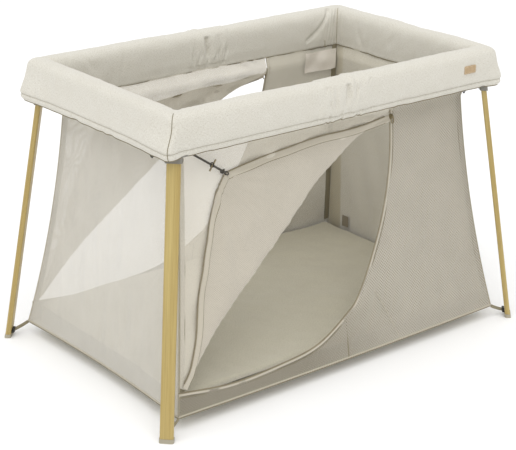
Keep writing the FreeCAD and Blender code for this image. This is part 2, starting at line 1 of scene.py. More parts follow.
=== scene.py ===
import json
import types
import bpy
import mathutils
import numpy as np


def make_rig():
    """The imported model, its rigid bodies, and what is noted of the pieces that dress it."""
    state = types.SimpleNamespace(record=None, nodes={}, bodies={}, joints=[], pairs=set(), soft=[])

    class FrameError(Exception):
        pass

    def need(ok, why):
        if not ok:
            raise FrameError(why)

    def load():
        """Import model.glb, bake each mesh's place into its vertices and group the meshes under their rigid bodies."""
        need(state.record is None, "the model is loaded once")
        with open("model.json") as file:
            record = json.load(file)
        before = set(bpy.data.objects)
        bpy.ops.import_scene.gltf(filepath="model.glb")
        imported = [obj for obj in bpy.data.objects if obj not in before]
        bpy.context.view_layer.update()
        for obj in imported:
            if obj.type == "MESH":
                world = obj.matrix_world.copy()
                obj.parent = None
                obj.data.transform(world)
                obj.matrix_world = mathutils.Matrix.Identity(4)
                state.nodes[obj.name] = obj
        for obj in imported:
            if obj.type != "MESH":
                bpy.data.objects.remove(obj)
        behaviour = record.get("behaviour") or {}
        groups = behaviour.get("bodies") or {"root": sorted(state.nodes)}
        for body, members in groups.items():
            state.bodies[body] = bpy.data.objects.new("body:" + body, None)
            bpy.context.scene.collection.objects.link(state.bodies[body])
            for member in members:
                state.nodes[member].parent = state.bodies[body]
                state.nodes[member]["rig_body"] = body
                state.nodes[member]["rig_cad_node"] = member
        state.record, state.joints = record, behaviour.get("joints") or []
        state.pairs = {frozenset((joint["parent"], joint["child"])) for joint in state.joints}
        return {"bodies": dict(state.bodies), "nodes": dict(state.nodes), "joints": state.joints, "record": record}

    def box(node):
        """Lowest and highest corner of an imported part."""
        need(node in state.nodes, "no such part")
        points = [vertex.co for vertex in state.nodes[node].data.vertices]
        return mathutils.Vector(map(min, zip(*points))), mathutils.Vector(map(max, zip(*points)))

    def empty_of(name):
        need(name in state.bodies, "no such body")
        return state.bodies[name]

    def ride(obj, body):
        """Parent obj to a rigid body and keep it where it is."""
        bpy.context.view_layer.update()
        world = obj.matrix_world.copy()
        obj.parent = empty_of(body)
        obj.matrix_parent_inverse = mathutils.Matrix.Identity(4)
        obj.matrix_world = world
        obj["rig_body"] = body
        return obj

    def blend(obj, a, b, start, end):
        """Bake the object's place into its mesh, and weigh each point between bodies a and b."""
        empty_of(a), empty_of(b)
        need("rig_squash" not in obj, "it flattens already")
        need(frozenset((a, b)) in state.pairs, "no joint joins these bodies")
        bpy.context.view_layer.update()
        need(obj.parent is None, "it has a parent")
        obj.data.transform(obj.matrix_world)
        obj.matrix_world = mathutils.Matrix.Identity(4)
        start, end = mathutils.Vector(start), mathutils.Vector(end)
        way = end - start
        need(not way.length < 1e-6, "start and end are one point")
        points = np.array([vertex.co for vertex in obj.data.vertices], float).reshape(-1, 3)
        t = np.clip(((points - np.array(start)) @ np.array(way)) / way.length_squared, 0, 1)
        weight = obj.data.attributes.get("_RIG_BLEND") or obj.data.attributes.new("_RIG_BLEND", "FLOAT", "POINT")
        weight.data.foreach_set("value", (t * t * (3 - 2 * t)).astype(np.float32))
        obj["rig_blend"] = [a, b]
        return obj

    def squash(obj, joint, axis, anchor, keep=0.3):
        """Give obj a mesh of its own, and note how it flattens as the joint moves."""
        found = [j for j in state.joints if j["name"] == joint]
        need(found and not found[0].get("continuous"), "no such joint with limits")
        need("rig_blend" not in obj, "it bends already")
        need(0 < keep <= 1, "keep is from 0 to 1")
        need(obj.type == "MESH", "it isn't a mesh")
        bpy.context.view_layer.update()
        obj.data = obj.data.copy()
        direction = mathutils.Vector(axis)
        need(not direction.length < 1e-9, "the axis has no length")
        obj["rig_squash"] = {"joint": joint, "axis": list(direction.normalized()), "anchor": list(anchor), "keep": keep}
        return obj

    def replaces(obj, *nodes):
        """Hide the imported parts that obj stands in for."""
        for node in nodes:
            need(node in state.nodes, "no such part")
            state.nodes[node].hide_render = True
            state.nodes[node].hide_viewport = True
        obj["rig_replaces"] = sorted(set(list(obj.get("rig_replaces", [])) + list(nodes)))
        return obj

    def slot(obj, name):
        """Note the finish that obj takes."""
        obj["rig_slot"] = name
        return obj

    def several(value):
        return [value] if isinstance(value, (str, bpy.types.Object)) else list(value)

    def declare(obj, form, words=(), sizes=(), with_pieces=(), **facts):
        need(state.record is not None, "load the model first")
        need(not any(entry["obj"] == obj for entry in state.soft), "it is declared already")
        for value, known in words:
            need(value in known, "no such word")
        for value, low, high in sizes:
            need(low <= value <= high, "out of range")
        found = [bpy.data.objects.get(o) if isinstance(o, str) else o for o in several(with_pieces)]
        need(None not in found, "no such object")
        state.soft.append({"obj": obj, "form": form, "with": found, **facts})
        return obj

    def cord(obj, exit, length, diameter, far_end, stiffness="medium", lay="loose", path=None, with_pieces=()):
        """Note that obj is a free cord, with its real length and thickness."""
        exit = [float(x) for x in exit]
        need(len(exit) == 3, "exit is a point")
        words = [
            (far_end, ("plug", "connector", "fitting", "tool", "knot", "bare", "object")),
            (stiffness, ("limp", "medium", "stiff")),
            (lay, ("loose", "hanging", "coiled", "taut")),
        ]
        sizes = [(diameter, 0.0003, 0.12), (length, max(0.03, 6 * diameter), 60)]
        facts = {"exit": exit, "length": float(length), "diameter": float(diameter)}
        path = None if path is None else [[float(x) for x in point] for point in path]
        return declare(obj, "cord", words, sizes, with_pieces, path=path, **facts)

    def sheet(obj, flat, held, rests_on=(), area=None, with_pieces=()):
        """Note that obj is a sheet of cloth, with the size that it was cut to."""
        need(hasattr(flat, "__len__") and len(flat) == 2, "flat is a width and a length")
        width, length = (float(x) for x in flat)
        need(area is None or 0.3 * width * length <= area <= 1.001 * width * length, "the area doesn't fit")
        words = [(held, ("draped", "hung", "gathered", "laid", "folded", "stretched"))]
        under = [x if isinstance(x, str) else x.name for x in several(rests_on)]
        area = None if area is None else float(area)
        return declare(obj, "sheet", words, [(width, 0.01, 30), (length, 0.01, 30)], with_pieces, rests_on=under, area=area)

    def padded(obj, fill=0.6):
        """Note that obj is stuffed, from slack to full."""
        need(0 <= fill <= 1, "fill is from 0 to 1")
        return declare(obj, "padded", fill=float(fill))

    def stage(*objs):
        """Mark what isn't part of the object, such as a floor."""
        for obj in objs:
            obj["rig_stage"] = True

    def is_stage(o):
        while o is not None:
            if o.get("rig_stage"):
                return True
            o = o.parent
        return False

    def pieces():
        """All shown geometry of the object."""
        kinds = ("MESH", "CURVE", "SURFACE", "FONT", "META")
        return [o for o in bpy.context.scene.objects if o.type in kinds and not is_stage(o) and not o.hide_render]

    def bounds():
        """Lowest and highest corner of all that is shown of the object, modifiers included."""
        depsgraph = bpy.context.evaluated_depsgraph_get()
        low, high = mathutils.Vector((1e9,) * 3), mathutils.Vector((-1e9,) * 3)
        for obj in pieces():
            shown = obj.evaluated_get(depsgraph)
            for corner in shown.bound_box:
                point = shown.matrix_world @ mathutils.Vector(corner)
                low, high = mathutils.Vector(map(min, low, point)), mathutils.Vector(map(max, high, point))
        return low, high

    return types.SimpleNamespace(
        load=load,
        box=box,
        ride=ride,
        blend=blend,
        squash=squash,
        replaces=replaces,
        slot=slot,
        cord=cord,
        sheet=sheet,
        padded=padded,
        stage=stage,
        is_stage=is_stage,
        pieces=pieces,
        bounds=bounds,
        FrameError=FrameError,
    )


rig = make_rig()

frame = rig.load()

import json
import math

import bpy
import numpy as np
from mathutils import Matrix, Vector
from mathutils.geometry import delaunay_2d_cdt

CAD_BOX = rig.bounds()
FRONT, BACK = -1, 1
SIDES = (("front", FRONT), ("back", BACK))


# ---- camera, at the photograph's angle ---------------------------------------------------------
CAMERA_AT = (-2.07139, -2.52798, 1.52533)
CAMERA_TURN, CAMERA_TILT, CAMERA_ROLL = -0.681719, 0.369525, 0.0127172
LENS = 103.92


def make_camera():
    back = Vector((math.sin(CAMERA_TURN) * math.cos(CAMERA_TILT), -math.cos(CAMERA_TURN)
        * math.cos(CAMERA_TILT), math.sin(CAMERA_TILT)))
    right = Vector((0, 0, 1)).cross(back).normalized()
    up = back.cross(right)
    turned = right * math.cos(CAMERA_ROLL) + up * math.sin(CAMERA_ROLL)
    upright = up * math.cos(CAMERA_ROLL) - right * math.sin(CAMERA_ROLL)
    data = bpy.data.cameras.new("camera")
    data.lens = LENS
    data.clip_start, data.clip_end = 0.05, 60
    camera = bpy.data.objects.new("camera", data)
    axes = Matrix((turned, upright, back)).transposed().to_4x4()
    camera.matrix_world = Matrix.Translation(CAMERA_AT) @ axes
    bpy.context.scene.collection.objects.link(camera)
    bpy.context.scene.camera = camera


# ---- light and floor ---------------------------------------------------------------------------
WORLD_STRENGTH = 0.84
SUN_FROM, SUN_POWER, SUN_SPREAD = (-0.35, -0.30, 1.0), 1.25, 1.0
KEY_AT, KEY_AIM, KEY_SIZE, KEY_POWER = (-1.6, -2.2, 2.6), (0, 0, 0.35), 1.6, 4
FLOOR_REACH = 9


def make_lamp(name, kind, power, away, at=(0, 0, 0)):
    """A light whose back points along away; returns its data."""
    data = bpy.data.lights.new(name, kind)
    data.energy = power
    lamp = bpy.data.objects.new(name, data)
    lamp.location = at
    lamp.rotation_euler = away.to_track_quat("Z", "Y").to_euler()
    bpy.context.scene.collection.objects.link(lamp)
    return data


def make_studio():
    world = bpy.data.worlds.new("studio")
    world.use_nodes = True
    backdrop = world.node_tree.nodes["Background"]
    backdrop.inputs["Color"].default_value = (1, 1, 1, 1)
    backdrop.inputs["Strength"].default_value = WORLD_STRENGTH
    scene = bpy.context.scene
    scene.world = world
    scene.view_settings.view_transform = "Standard"
    make_lamp("overhead", "SUN", SUN_POWER, Vector(SUN_FROM)).angle = SUN_SPREAD
    make_lamp("key", "AREA", KEY_POWER, Vector(KEY_AT) - Vector(KEY_AIM), KEY_AT).size = KEY_SIZE
    r = FLOOR_REACH
    floor = new_piece("studio_floor", [(-r, -r, 0), (r, -r, 0), (r, r, 0), (-r, r, 0)], [(0, 1, 2, 3)],
        plain_floor())
    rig.stage(floor)


# ---- meshes ------------------------------------------------------------------------------------
def new_piece(name, points, faces, look, uv=None, smooth=True, normals=None):
    """A mesh object in the row frame; uv gives one pair for each point, in metres of cloth."""
    mesh = bpy.data.meshes.new(name)
    mesh.from_pydata([tuple(p) for p in points], [], faces)
    mesh.validate()
    mesh.update()
    if smooth:
        mesh.polygons.foreach_set("use_smooth", [True] * len(mesh.polygons))
    if uv is not None:
        corner = np.empty(len(mesh.loops), int)
        mesh.loops.foreach_get("vertex_index", corner)
        layer = mesh.uv_layers.new(name="cloth")
        layer.data.foreach_set("uv", np.asarray(uv, float)[corner].ravel())
    if normals is not None:
        mesh.normals_split_custom_set_from_vertices([tuple(n) for n in normals])
    mesh.materials.append(look)
    piece = bpy.data.objects.new(name, mesh)
    bpy.context.scene.collection.objects.link(piece)
    return piece


def grid_faces(rows, columns, close_rows=False, close_columns=False):
    faces = []
    for i in range(rows if close_rows else rows - 1):
        for j in range(columns if close_columns else columns - 1):
            a, b = i * columns + j, i * columns + (j + 1) % columns
            below = (i + 1) % rows * columns
            faces.append((a, b, below + (j + 1) % columns, below + j))
    return faces


def catmull_rom(a, b, c, d, t):
    """The curve's point at share t between b and c."""
    return 0.5 * (2 * b + (c - a) * t + (2 * a - 5 * b + 4 * c - d) * t ** 2 + (3 * b - a - 3 * c + d)
        * t ** 3)


def run_along(path):
    """Distance from the first point to each point."""
    return np.concatenate([[0], np.cumsum(np.linalg.norm(np.diff(path, axis=0), axis=1))])


def circle(count):
    """Angles once round, the last one short of a full turn."""
    return np.linspace(0, 2 * math.pi, count, endpoint=False)


def smooth_path(points, step):
    """Points every step along a Catmull-Rom curve through the given ones, in any dimension."""
    p = np.asarray(points, float)
    padded = np.vstack([2 * p[0] - p[1], p, 2 * p[-1] - p[-2]])
    fine = [catmull_rom(*padded[i - 1:i + 3], t) for i in range(1, len(padded) - 2) for t in np.linspace(0,
        1, 24, endpoint=False)]
    fine.append(padded[-2])
    return even_steps(np.array(fine), step)


def even_steps(points, step):
    points = np.asarray(points, float)
    run = run_along(points)
    count = max(2, int(round(run[-1] / step)) + 1)
    at = np.linspace(0, run[-1], count)
    return np.stack([np.interp(at, run, points[:, k]) for k in range(points.shape[1])], axis=1)


RIPPLES = 9


def waves(points, wavelength, seed):
    """Smooth seeded ripples of about unit height over points of any dimension."""
    points = np.asarray(points, float)
    random = np.random.default_rng(seed)
    total = np.zeros(points.shape[:-1])
    for _ in range(RIPPLES):
        direction = random.normal(size=points.shape[-1])
        direction /= np.linalg.norm(direction)
        pitch = 2 * math.pi / (wavelength * random.uniform(0.7, 1.5))
        total += np.sin(points @ direction * pitch + random.uniform(0, 2 * math.pi))
    return total / math.sqrt(RIPPLES / 2)


def bell(distance, width):
    return np.exp(-(np.asarray(distance, float) / width) ** 2)


def tube(name, path, radius, look, sides, closed=False, pitch=None):
    """A round tube along a path; pitch winds two raised strands round it."""
    path = np.asarray(path, float)
    ahead = np.roll(path, -1, 0) - np.roll(path, 1, 0) if closed else np.gradient(path, axis=0)
    ahead /= np.linalg.norm(ahead, axis=1)[:, None]
    start = np.array((0, 0, 1.0)) if abs(ahead[0][2]) < 0.9 else np.array((1.0, 0, 0))
    across = np.cross(ahead[0], start)
    rings, uv, run = [], [], 0.0
    for i, (here, forward) in enumerate(zip(path, ahead)):
        across = across - forward * (across @ forward)
        across /= np.linalg.norm(across)
        other = np.cross(forward, across)
        if i:
            run += np.linalg.norm(here - path[i - 1])
        for k in range(sides):
            angle = 2 * math.pi * k / sides
            r = radius
            if pitch:
                r *= 0.94 + 0.06 * math.sin(4 * angle + 2 * math.pi * run / pitch) * math.sin(4 * angle - 2
                    * math.pi * run / pitch)
            rings.append(here + r * (across * math.cos(angle) + other * math.sin(angle)))
            uv.append((run, radius * angle))
    faces = grid_faces(len(path), sides, close_rows=closed, close_columns=True)
    if not closed:
        last = len(rings) - sides
        faces += [tuple(range(sides))[::-1], tuple(range(last, last + sides))]
    return new_piece(name, rings, faces, look, uv)


# ---- the tub's walls, as surfaces (x or y along the wall, z up, out of the wall) -----------------
FLOOR_Z, WALL_TOP, HEM_Z, UNDER_COVER_Z = 0.031, 0.560, 0.5834, 0.592
TUB_X_TOP, TUB_X_SLOPE, TUB_Y_TOP, TUB_Y_SLOPE = 0.407, 0.1229, 0.218, 0.1607
FLARE_X, FLARE_Y = 0.009, 0.011                  # the walls open out again under the rail
CORNER_BOW, END_BOW, FRONT_SAG = 0.009, 0.012, 0.004
OUT_OF_LONG, OUT_OF_END = (0.987, 0.159), (0.992, 0.122)   # level and upward share of a wall's normal


def tub_half(z):
    """Half length and half width of the tub at height z, along the middles of its walls."""
    above = np.clip((z - WALL_TOP) / (HEM_Z - WALL_TOP), 0, 1)
    below = WALL_TOP - np.minimum(z, WALL_TOP)
    return (TUB_X_TOP + TUB_X_SLOPE * below + FLARE_X * above, TUB_Y_TOP + TUB_Y_SLOPE * below + FLARE_Y
        * above)


def bow(z):
    t = np.clip((z - FLOOR_Z) / (WALL_TOP - FLOOR_Z), 0, 1)
    return CORNER_BOW * 4 * t * (1 - t), t


def corner_x(z):
    return tub_half(z)[0] - bow(z)[0]


def corner_y(z):
    return tub_half(z)[1] - bow(z)[0]


def long_wall(side):
    """Maps (x, z, out) on the front or back wall to the row frame."""
    def surface(x, z, out):
        x, z = np.asarray(x, float), np.asarray(z, float)
        sag, t = bow(z)
        u = np.clip(x / corner_x(z), -1, 1)
        y = tub_half(z)[1] - sag * u ** 4 + out * OUT_OF_LONG[0]
        droop = FRONT_SAG * (1 - u ** 2) * (1 - t) ** 8
        return np.stack([x, side * y, z - droop + out * OUT_OF_LONG[1]], axis=-1)
    return surface


def end_wall(end):
    """Maps (y, z, out) on the right (+1) or left (-1) wall to the row frame."""
    def surface(y, z, out):
        y, z = np.asarray(y, float), np.asarray(z, float)
        sag, t = bow(z)
        v = np.clip(y / corner_y(z), -1, 1)
        x = tub_half(z)[0] - sag * v ** 4 - END_BOW * (1 - v ** 2) * (1 - t) ** 3 + out * OUT_OF_END[0]
        return np.stack([end * x, y, z + out * OUT_OF_END[1]], axis=-1)
    return surface


def trimmed_cloth(name, outline, spacing, surface, look, relief):
    """Cloth inside an outline drawn on a wall, filled with an even grid and laid on its surface."""
    outline = even_steps(np.vstack([outline, outline[:1]]), spacing * 0.8)[:-1]
    low, high = outline.min(0), outline.max(0)
    inside = [(x, z) for x in np.arange(low[0] + spacing / 2, high[0], spacing)
        for z in np.arange(low[1] + spacing / 2, high[1], spacing)]
    inside = np.array([p for p in inside if np.min(np.hypot(*(outline - p).T)) > spacing * 0.55])
    flat = np.vstack([outline, inside])
    count = len(outline)
    edges = [(i, (i + 1) % count) for i in range(count)]
    flat, _, faces, *_ = delaunay_2d_cdt([Vector(p) for p in flat], edges, [], 1, 1e-6)
    flat = np.array([tuple(p) for p in flat])
    return new_piece(name, surface(flat[:, 0], flat[:, 1], relief(flat)), faces, look, flat)


def sideways(path):
    """Unit vectors to the left of a path drawn on a wall."""
    ahead = np.gradient(path, axis=0)
    ahead /= np.linalg.norm(ahead, axis=1)[:, None]
    return np.stack([-ahead[:, 1], ahead[:, 0]], axis=1)


def ribbon(name, path, profile, surface, look, closed_profile=False):
    """A strip along a path on a wall; profile is pairs of (sideways, out of the wall)."""
    path = np.asarray(path, float)
    side = sideways(path)
    points, uv = [], []
    for (x, z), (nx, nz), along in zip(path, side, run_along(path)):
        for offset, out in profile:
            points.append(surface(x + nx * offset, z + nz * offset, out))
            uv.append((along, offset))
    faces = grid_faces(len(path), len(profile), close_columns=closed_profile)
    return new_piece(name, points, faces, look, uv)


def blocks(name, centres, half, surface, look):
    """Many small six-sided blocks on a wall, such as zip teeth: centres are (x, z, out, angle)."""
    corners = [(i, j, k) for i in (-1, 1) for j in (-1, 1) for k in (-1, 1)]
    sides = [(0, 1, 3, 2), (4, 6, 7, 5), (0, 4, 5, 1), (2, 3, 7, 6), (0, 2, 6, 4), (1, 5, 7, 3)]
    points, faces = [], []
    for x, z, out, angle in centres:
        base = len(points)
        c, s = math.cos(angle), math.sin(angle)
        for i, j, k in corners:
            a, b = i * half[0], j * half[1] * (1 - 0.25 * (k > 0))
            points.append(surface(x + a * c - b * s, z + a * s + b * c, out + k * half[2]))
        faces += [tuple(base + n for n in f) for f in sides]
    return new_piece(name, points, faces, look, [(p[0], p[2]) for p in points], smooth=False)


# ---- materials ---------------------------------------------------------------------------------
def srgb(*colours):
    """Linear colours from 0-255 screen values."""
    def linear(value):
        v = value / 255
        return v / 12.92 if v <= 0.04045 else ((v + 0.055) / 1.055) ** 2.4
    return [tuple(map(linear, colour)) + (1.0,) for colour in colours]


class Look:
    """A Principled material and short ways to add nodes to it."""

    def __init__(self, name, roughness, **sockets):
        self.material = bpy.data.materials.new(name)
        self.material.use_nodes = True
        self.tree = self.material.node_tree
        self.shader = self.tree.nodes["Principled BSDF"]
        self.shader.inputs["Roughness"].default_value = roughness
        for socket, value in sockets.items():
            self.shader.inputs[socket.replace("_", " ")].default_value = value

    def node(self, kind, settings=(), **inputs):
        node = self.tree.nodes.new("ShaderNode" + kind)
        for key, value in settings:
            setattr(node, key, value)
        for key, value in inputs.items():
            slot = int(key[1:]) if key[1:].isdigit() else key.replace("_", " ")
            if isinstance(value, bpy.types.NodeSocket):
                self.tree.links.new(value, node.inputs[slot])
            else:
                node.inputs[slot].default_value = value
        return node

    def place(self, kind="UV", scale=(1, 1, 1)):
        """UV (metres of cloth) or Object (row frame) coordinates, stretched by scale."""
        source = self.node("TexCoord").outputs[kind]
        return self.node("Mapping", Vector=source, Scale=scale).outputs["Vector"]

    def maths(self, operation, a, b=0.0):
        return self.node("Math", (("operation", operation),), _0=a, _1=b).outputs[0]

    def times(self, a, b):
        return self.maths("MULTIPLY", a, b)

    def plus(self, a, b):
        return self.maths("ADD", a, b)

    def noise(self, vector, scale, detail=3.0, rough=0.55):
        return self.node("TexNoise", Vector=vector, Scale=scale, Detail=detail,
            Roughness=rough).outputs["Fac"]

    def between(self, value, low, high):
        """value spread so that low gives 0 and high gives 1."""
        return self.node("MapRange", Value=value, From_Min=low, From_Max=high).outputs["Result"]

    def blend(self, factor, first, second):
        mixer = self.node("Mix", (("data_type", "RGBA"),))
        for socket, value in ((0, factor), (6, first), (7, second)):
            if isinstance(value, bpy.types.NodeSocket):
                self.tree.links.new(value, mixer.inputs[socket])
            else:
                mixer.inputs[socket].default_value = value
        return mixer.outputs[2]

    def colour(self, value):
        self.tree.links.new(value, self.shader.inputs["Base Color"])

    def drive(self, socket, value):
        self.tree.links.new(value, self.shader.inputs[socket])

    def polish(self, value, low, high, smoothest, roughest):
        gloss = self.node("MapRange", Value=value, From_Min=low, From_Max=high, To_Min=smoothest,
            To_Max=roughest)
        self.drive("Roughness", gloss.outputs["Result"])

    def bump(self, height, distance, strength):
        bump = self.node("Bump", Height=height, Distance=distance, Strength=strength)
        self.tree.links.new(bump.outputs["Normal"], self.shader.inputs["Normal"])


FLOOR_TONES = (0.93, 0.93, 0.93, 1), (0.95, 0.95, 0.95, 1)


def plain_floor():
    look = Look("studio_floor", 0.9)
    tone = look.noise(look.place("Object"), 3)
    look.colour(look.blend(tone, *FLOOR_TONES))
    return look.material


def threads(look, pitch):
    """Crossing threads of a plain weave: a height from 0 to 1 over the UVs."""
    cloth = look.place()
    split = look.node("SeparateXYZ", Vector=cloth)
    warp = look.maths("SINE", look.times(split.outputs[0], 2 * math.pi / pitch))
    weft = look.maths("SINE", look.times(split.outputs[1], 2 * math.pi / pitch))
    return look.maths("MULTIPLY_ADD", look.times(warp, weft), 0.5)


CLOTH_ROUGHNESS, NET_ROUGHNESS, TAPE_ROUGHNESS = 0.92, 0.85, 0.8
CLOTH_SHADE, PLASTIC_GRAIN = 0.5, 900


def melange(name, light, mid, dark, pitch=0.0011):
    """Woven cloth of mixed light and dark yarn, with slubs along both directions."""
    light, mid, dark = srgb(light, mid, dark)
    look = Look(name, CLOTH_ROUGHNESS, Sheen_Weight=0.25, Sheen_Roughness=0.6, Specular_IOR_Level=0.15)
    slub_a = look.noise(look.place("UV", (260, 1100, 1)), 1, 2)
    slub_b = look.noise(look.place("UV", (1100, 260, 1)), 1, 2)
    flecks = look.between(look.plus(slub_a, slub_b), 0.78, 1.22)
    broad = look.between(look.noise(look.place(), 28, 4), 0.3, 0.7)
    base = look.blend(look.times(broad, CLOTH_SHADE), light, mid)
    look.colour(look.blend(look.times(look.between(flecks, 0.35, 0.95), 0.75), base, dark))
    weave = threads(look, pitch)
    height = look.plus(look.times(weave, 0.6), flecks)
    look.bump(height, 0.0002, 0.25)
    return look.material


NET_HOLE_START, NET_HOLE_GROWTH, NET_HOLE_BLUR = 0.86, 0.95, 0.14
SILL_X, SILL_Z = (0.16, -0.12), (0.165, 0.125)   # where the painted shade on the sill begins and is full
# painted shade on the sill: how far its cloth darkens, and how much more its holes darken
SILL_PAINTED_SHADE, SILL_SHADOW_DOTS = 0.5, 0.32


def netting(name, thread, shadow, pitch, open_share, sill=False):
    """Fine diamond net with small holes that let what is behind show; sill paints shade on it below the zip, for the
    shaded inside seen through it.
    """
    thread, shadow = srgb(thread, shadow)
    look = Look(name, NET_ROUGHNESS, Sheen_Weight=0.2, Specular_IOR_Level=0.2)
    cloth = look.node("SeparateXYZ", Vector=look.place())
    turn = 2 * math.pi / pitch
    a = look.times(look.plus(cloth.outputs[0], cloth.outputs[1]), turn * 0.5)
    b = look.times(look.maths("SUBTRACT", cloth.outputs[0], cloth.outputs[1]), turn * 0.5)
    hole = look.times(look.maths("ABSOLUTE", look.maths("SINE", a)),
        look.maths("ABSOLUTE", look.maths("SINE", b)))
    edge = NET_HOLE_START - NET_HOLE_GROWTH * open_share
    solid = look.between(hole, edge + NET_HOLE_BLUR, edge)
    tone = look.between(look.noise(look.place(), 14, 4), 0.3, 0.7)
    dots = look.times(look.between(hole, 0.2, 0.75), 0.7)
    ground = look.blend(tone, thread, tuple(0.93 * c for c in thread[:3]) + (1,))
    # painted shade: below the zip the net darkens, its holes most, as the shaded inside shows through
    if sill:
        left = look.between(cloth.outputs[0], *SILL_X)
        low = look.between(cloth.outputs[1], *SILL_Z)
        ground = look.blend(look.times(look.times(left, low), SILL_PAINTED_SHADE), ground, shadow)
        dots = look.plus(dots, look.times(look.times(left, dots), SILL_SHADOW_DOTS))
    look.colour(look.blend(dots, ground, shadow))
    look.drive("Alpha", solid)
    look.bump(solid, 0.0003, 0.4)
    return look.material


def tape(name, light, dark, rib=0.0014):
    """Ribbed narrow webbing or binding, ribs across its length."""
    light, dark = srgb(light, dark)
    look = Look(name, TAPE_ROUGHNESS, Sheen_Weight=0.15, Specular_IOR_Level=0.2)
    cloth = look.place()
    split = look.node("SeparateXYZ", Vector=cloth)
    rib_wave = look.maths("SINE", look.times(split.outputs[0], 2 * math.pi / rib))
    grain = look.noise(look.place("UV", (700, 2400, 1)), 1, 2)
    height = look.maths("MULTIPLY_ADD", rib_wave, 0.5)
    height = look.plus(height, grain)
    look.colour(look.blend(look.between(grain, 0.35, 0.75), light, dark))
    look.bump(height, 0.0003, 0.5)
    return look.material


def moulded(name, base, worn, roughness=0.45):
    """Moulded plastic: fine spark-eroded grain, slightly uneven gloss and paler rubbed patches."""
    base, worn = srgb(base, worn)
    look = Look(name, roughness, Specular_IOR_Level=0.4)
    where = look.place("Object")
    patch = look.between(look.noise(where, 22, 4), 0.45, 0.8)
    look.colour(look.blend(patch, base, worn))
    look.polish(look.noise(where, 60, 3), 0.2, 0.8, roughness - 0.08, roughness + 0.1)
    look.bump(look.noise(where, PLASTIC_GRAIN, 2), 0.0002, 0.35)
    return look.material


def metal(name, base, roughness):
    """Drawn or plated metal with fine scratches and faint tarnish."""
    base, = srgb(base)
    look = Look(name, roughness, Metallic=1.0)
    where = look.place("Object")
    look.colour(look.blend(look.between(look.noise(where, 35, 4), 0.4, 0.8), base,
        tuple(0.72 * c for c in base[:3]) + (1,)))
    scratch = look.noise(look.place("Object", (120, 1500, 1500)), 1, 2)
    look.polish(scratch, 0.3, 0.7, roughness - 0.08, roughness + 0.12)
    look.bump(scratch, 0.0001, 0.25)
    return look.material


def bamboo(name):
    """Golden strip bamboo, its grain running down the splayed legs."""
    look = Look(name, 0.42, Specular_IOR_Level=0.35, Coat_Weight=0.15, Coat_Roughness=0.35)
    split = look.node("SeparateXYZ", Vector=look.place("Object"))
    x, y, z = (split.outputs[k] for k in range(3))
    along_x = look.plus(look.maths("ABSOLUTE", x), look.times(z, 0.1241))
    along_y = look.plus(look.maths("ABSOLUTE", y), look.times(z, 0.1136))
    across = look.node("CombineXYZ", X=along_x, Y=along_y, Z=z).outputs[0]
    fibre = look.node("Mapping", Vector=across, Scale=(900, 900, 9)).outputs["Vector"]
    strip = look.node("Mapping", Vector=across, Scale=(95, 95, 1.6)).outputs["Vector"]
    fine = look.between(look.noise(fibre, 1, 3, 0.6), 0.3, 0.72)
    strips = look.between(look.noise(strip, 1, 1), 0.35, 0.65)
    pale, golden, grain = srgb((195, 175, 114), (180, 158, 97), (138, 114, 60))
    base = look.blend(strips, pale, golden)
    look.colour(look.blend(look.times(fine, 0.55), base, grain))
    look.bump(fine, 0.0002, 0.3)
    return look.material


def leather(name, base, dark):
    """Fine-celled leather or close-grained wood, slightly mottled."""
    base, dark = srgb(base, dark)
    look = Look(name, 0.6, Specular_IOR_Level=0.3)
    where = look.place("Object")
    cells = look.node("TexVoronoi", (("feature", "DISTANCE_TO_EDGE"),), Vector=where,
        Scale=900.0).outputs["Distance"]
    look.colour(look.blend(look.between(look.noise(where, 120, 4), 0.3, 0.75), base, dark))
    look.bump(look.between(cells, 0.0, 0.12), 0.0002, 0.5)
    return look.material


COVER = melange("cover_fabric", (216, 213, 203), (208, 204, 192), (186, 180, 165))
# dark olive for the tubes under the hem: partly real piping, partly painted shadow beneath the rail cover
HEM_PIPING_AND_SHADE = tape("hem_piping", (134, 124, 98), (104, 95, 72))
HEM_THREAD = tape("hem_thread", (188, 182, 166), (164, 157, 140), rib=0.0009)
SEAM_THREAD = tape("seam_thread", (168, 158, 132), (138, 128, 102), rib=0.0009)
NET = netting("mesh_fabric", (192, 186, 173), (112, 105, 86), pitch=0.0072, open_share=0.12, sill=True)
# painted light: the left end's net is lighter than the front wall's, for the white backdrop showing through it from
# behind
NET_THIN_BACKLIT = netting("mesh_fabric_end", (217, 213, 203), (174, 168, 153), pitch=0.0026, open_share=0.26)
# painted light: the hung flap's net is lighter than the front wall's, for the white backdrop showing through it
NET_HUNG_BACKLIT = netting("mesh_fabric_hung", (223, 217, 203), (178, 171, 153), pitch=0.0026, open_share=0.18)
NET_DENSE = netting("mesh_fabric_lined", (204, 198, 181), (160, 153, 134), pitch=0.0046, open_share=0.03)
NET_FOLDED = netting("mesh_fabric_folded", (206, 199, 185), (168, 160, 143), pitch=0.0046, open_share=0.06)
BASE_CLOTH = melange("base_fabric", (206, 200, 182), (196, 190, 172), (170, 164, 146))
MATTRESS_CLOTH = melange("mattress_fabric", (186, 181, 162), (178, 172, 153), (160, 153, 134), pitch=0.0014)
BINDING = tape("binding", (196, 189, 172), (174, 166, 146))
SEAM_BINDING = tape("seam_binding", (172, 164, 143), (152, 144, 122))
DARK_BINDING = tape("dark_binding", (146, 138, 114), (122, 114, 92))
ZIP_TAPE = tape("zip_tape", (204, 197, 182), (182, 174, 156), rib=0.0011)
TEETH = moulded("zip_teeth", (142, 132, 108), (160, 150, 126), 0.4)
SLIDER_METAL = metal("zip_metal", (150, 138, 108), 0.42)
WEBBING = tape("webbing", (150, 142, 118), (122, 114, 92), rib=0.0018)
CORD_LOOK = tape("cord", (92, 88, 80), (56, 53, 48), rib=0.0016)
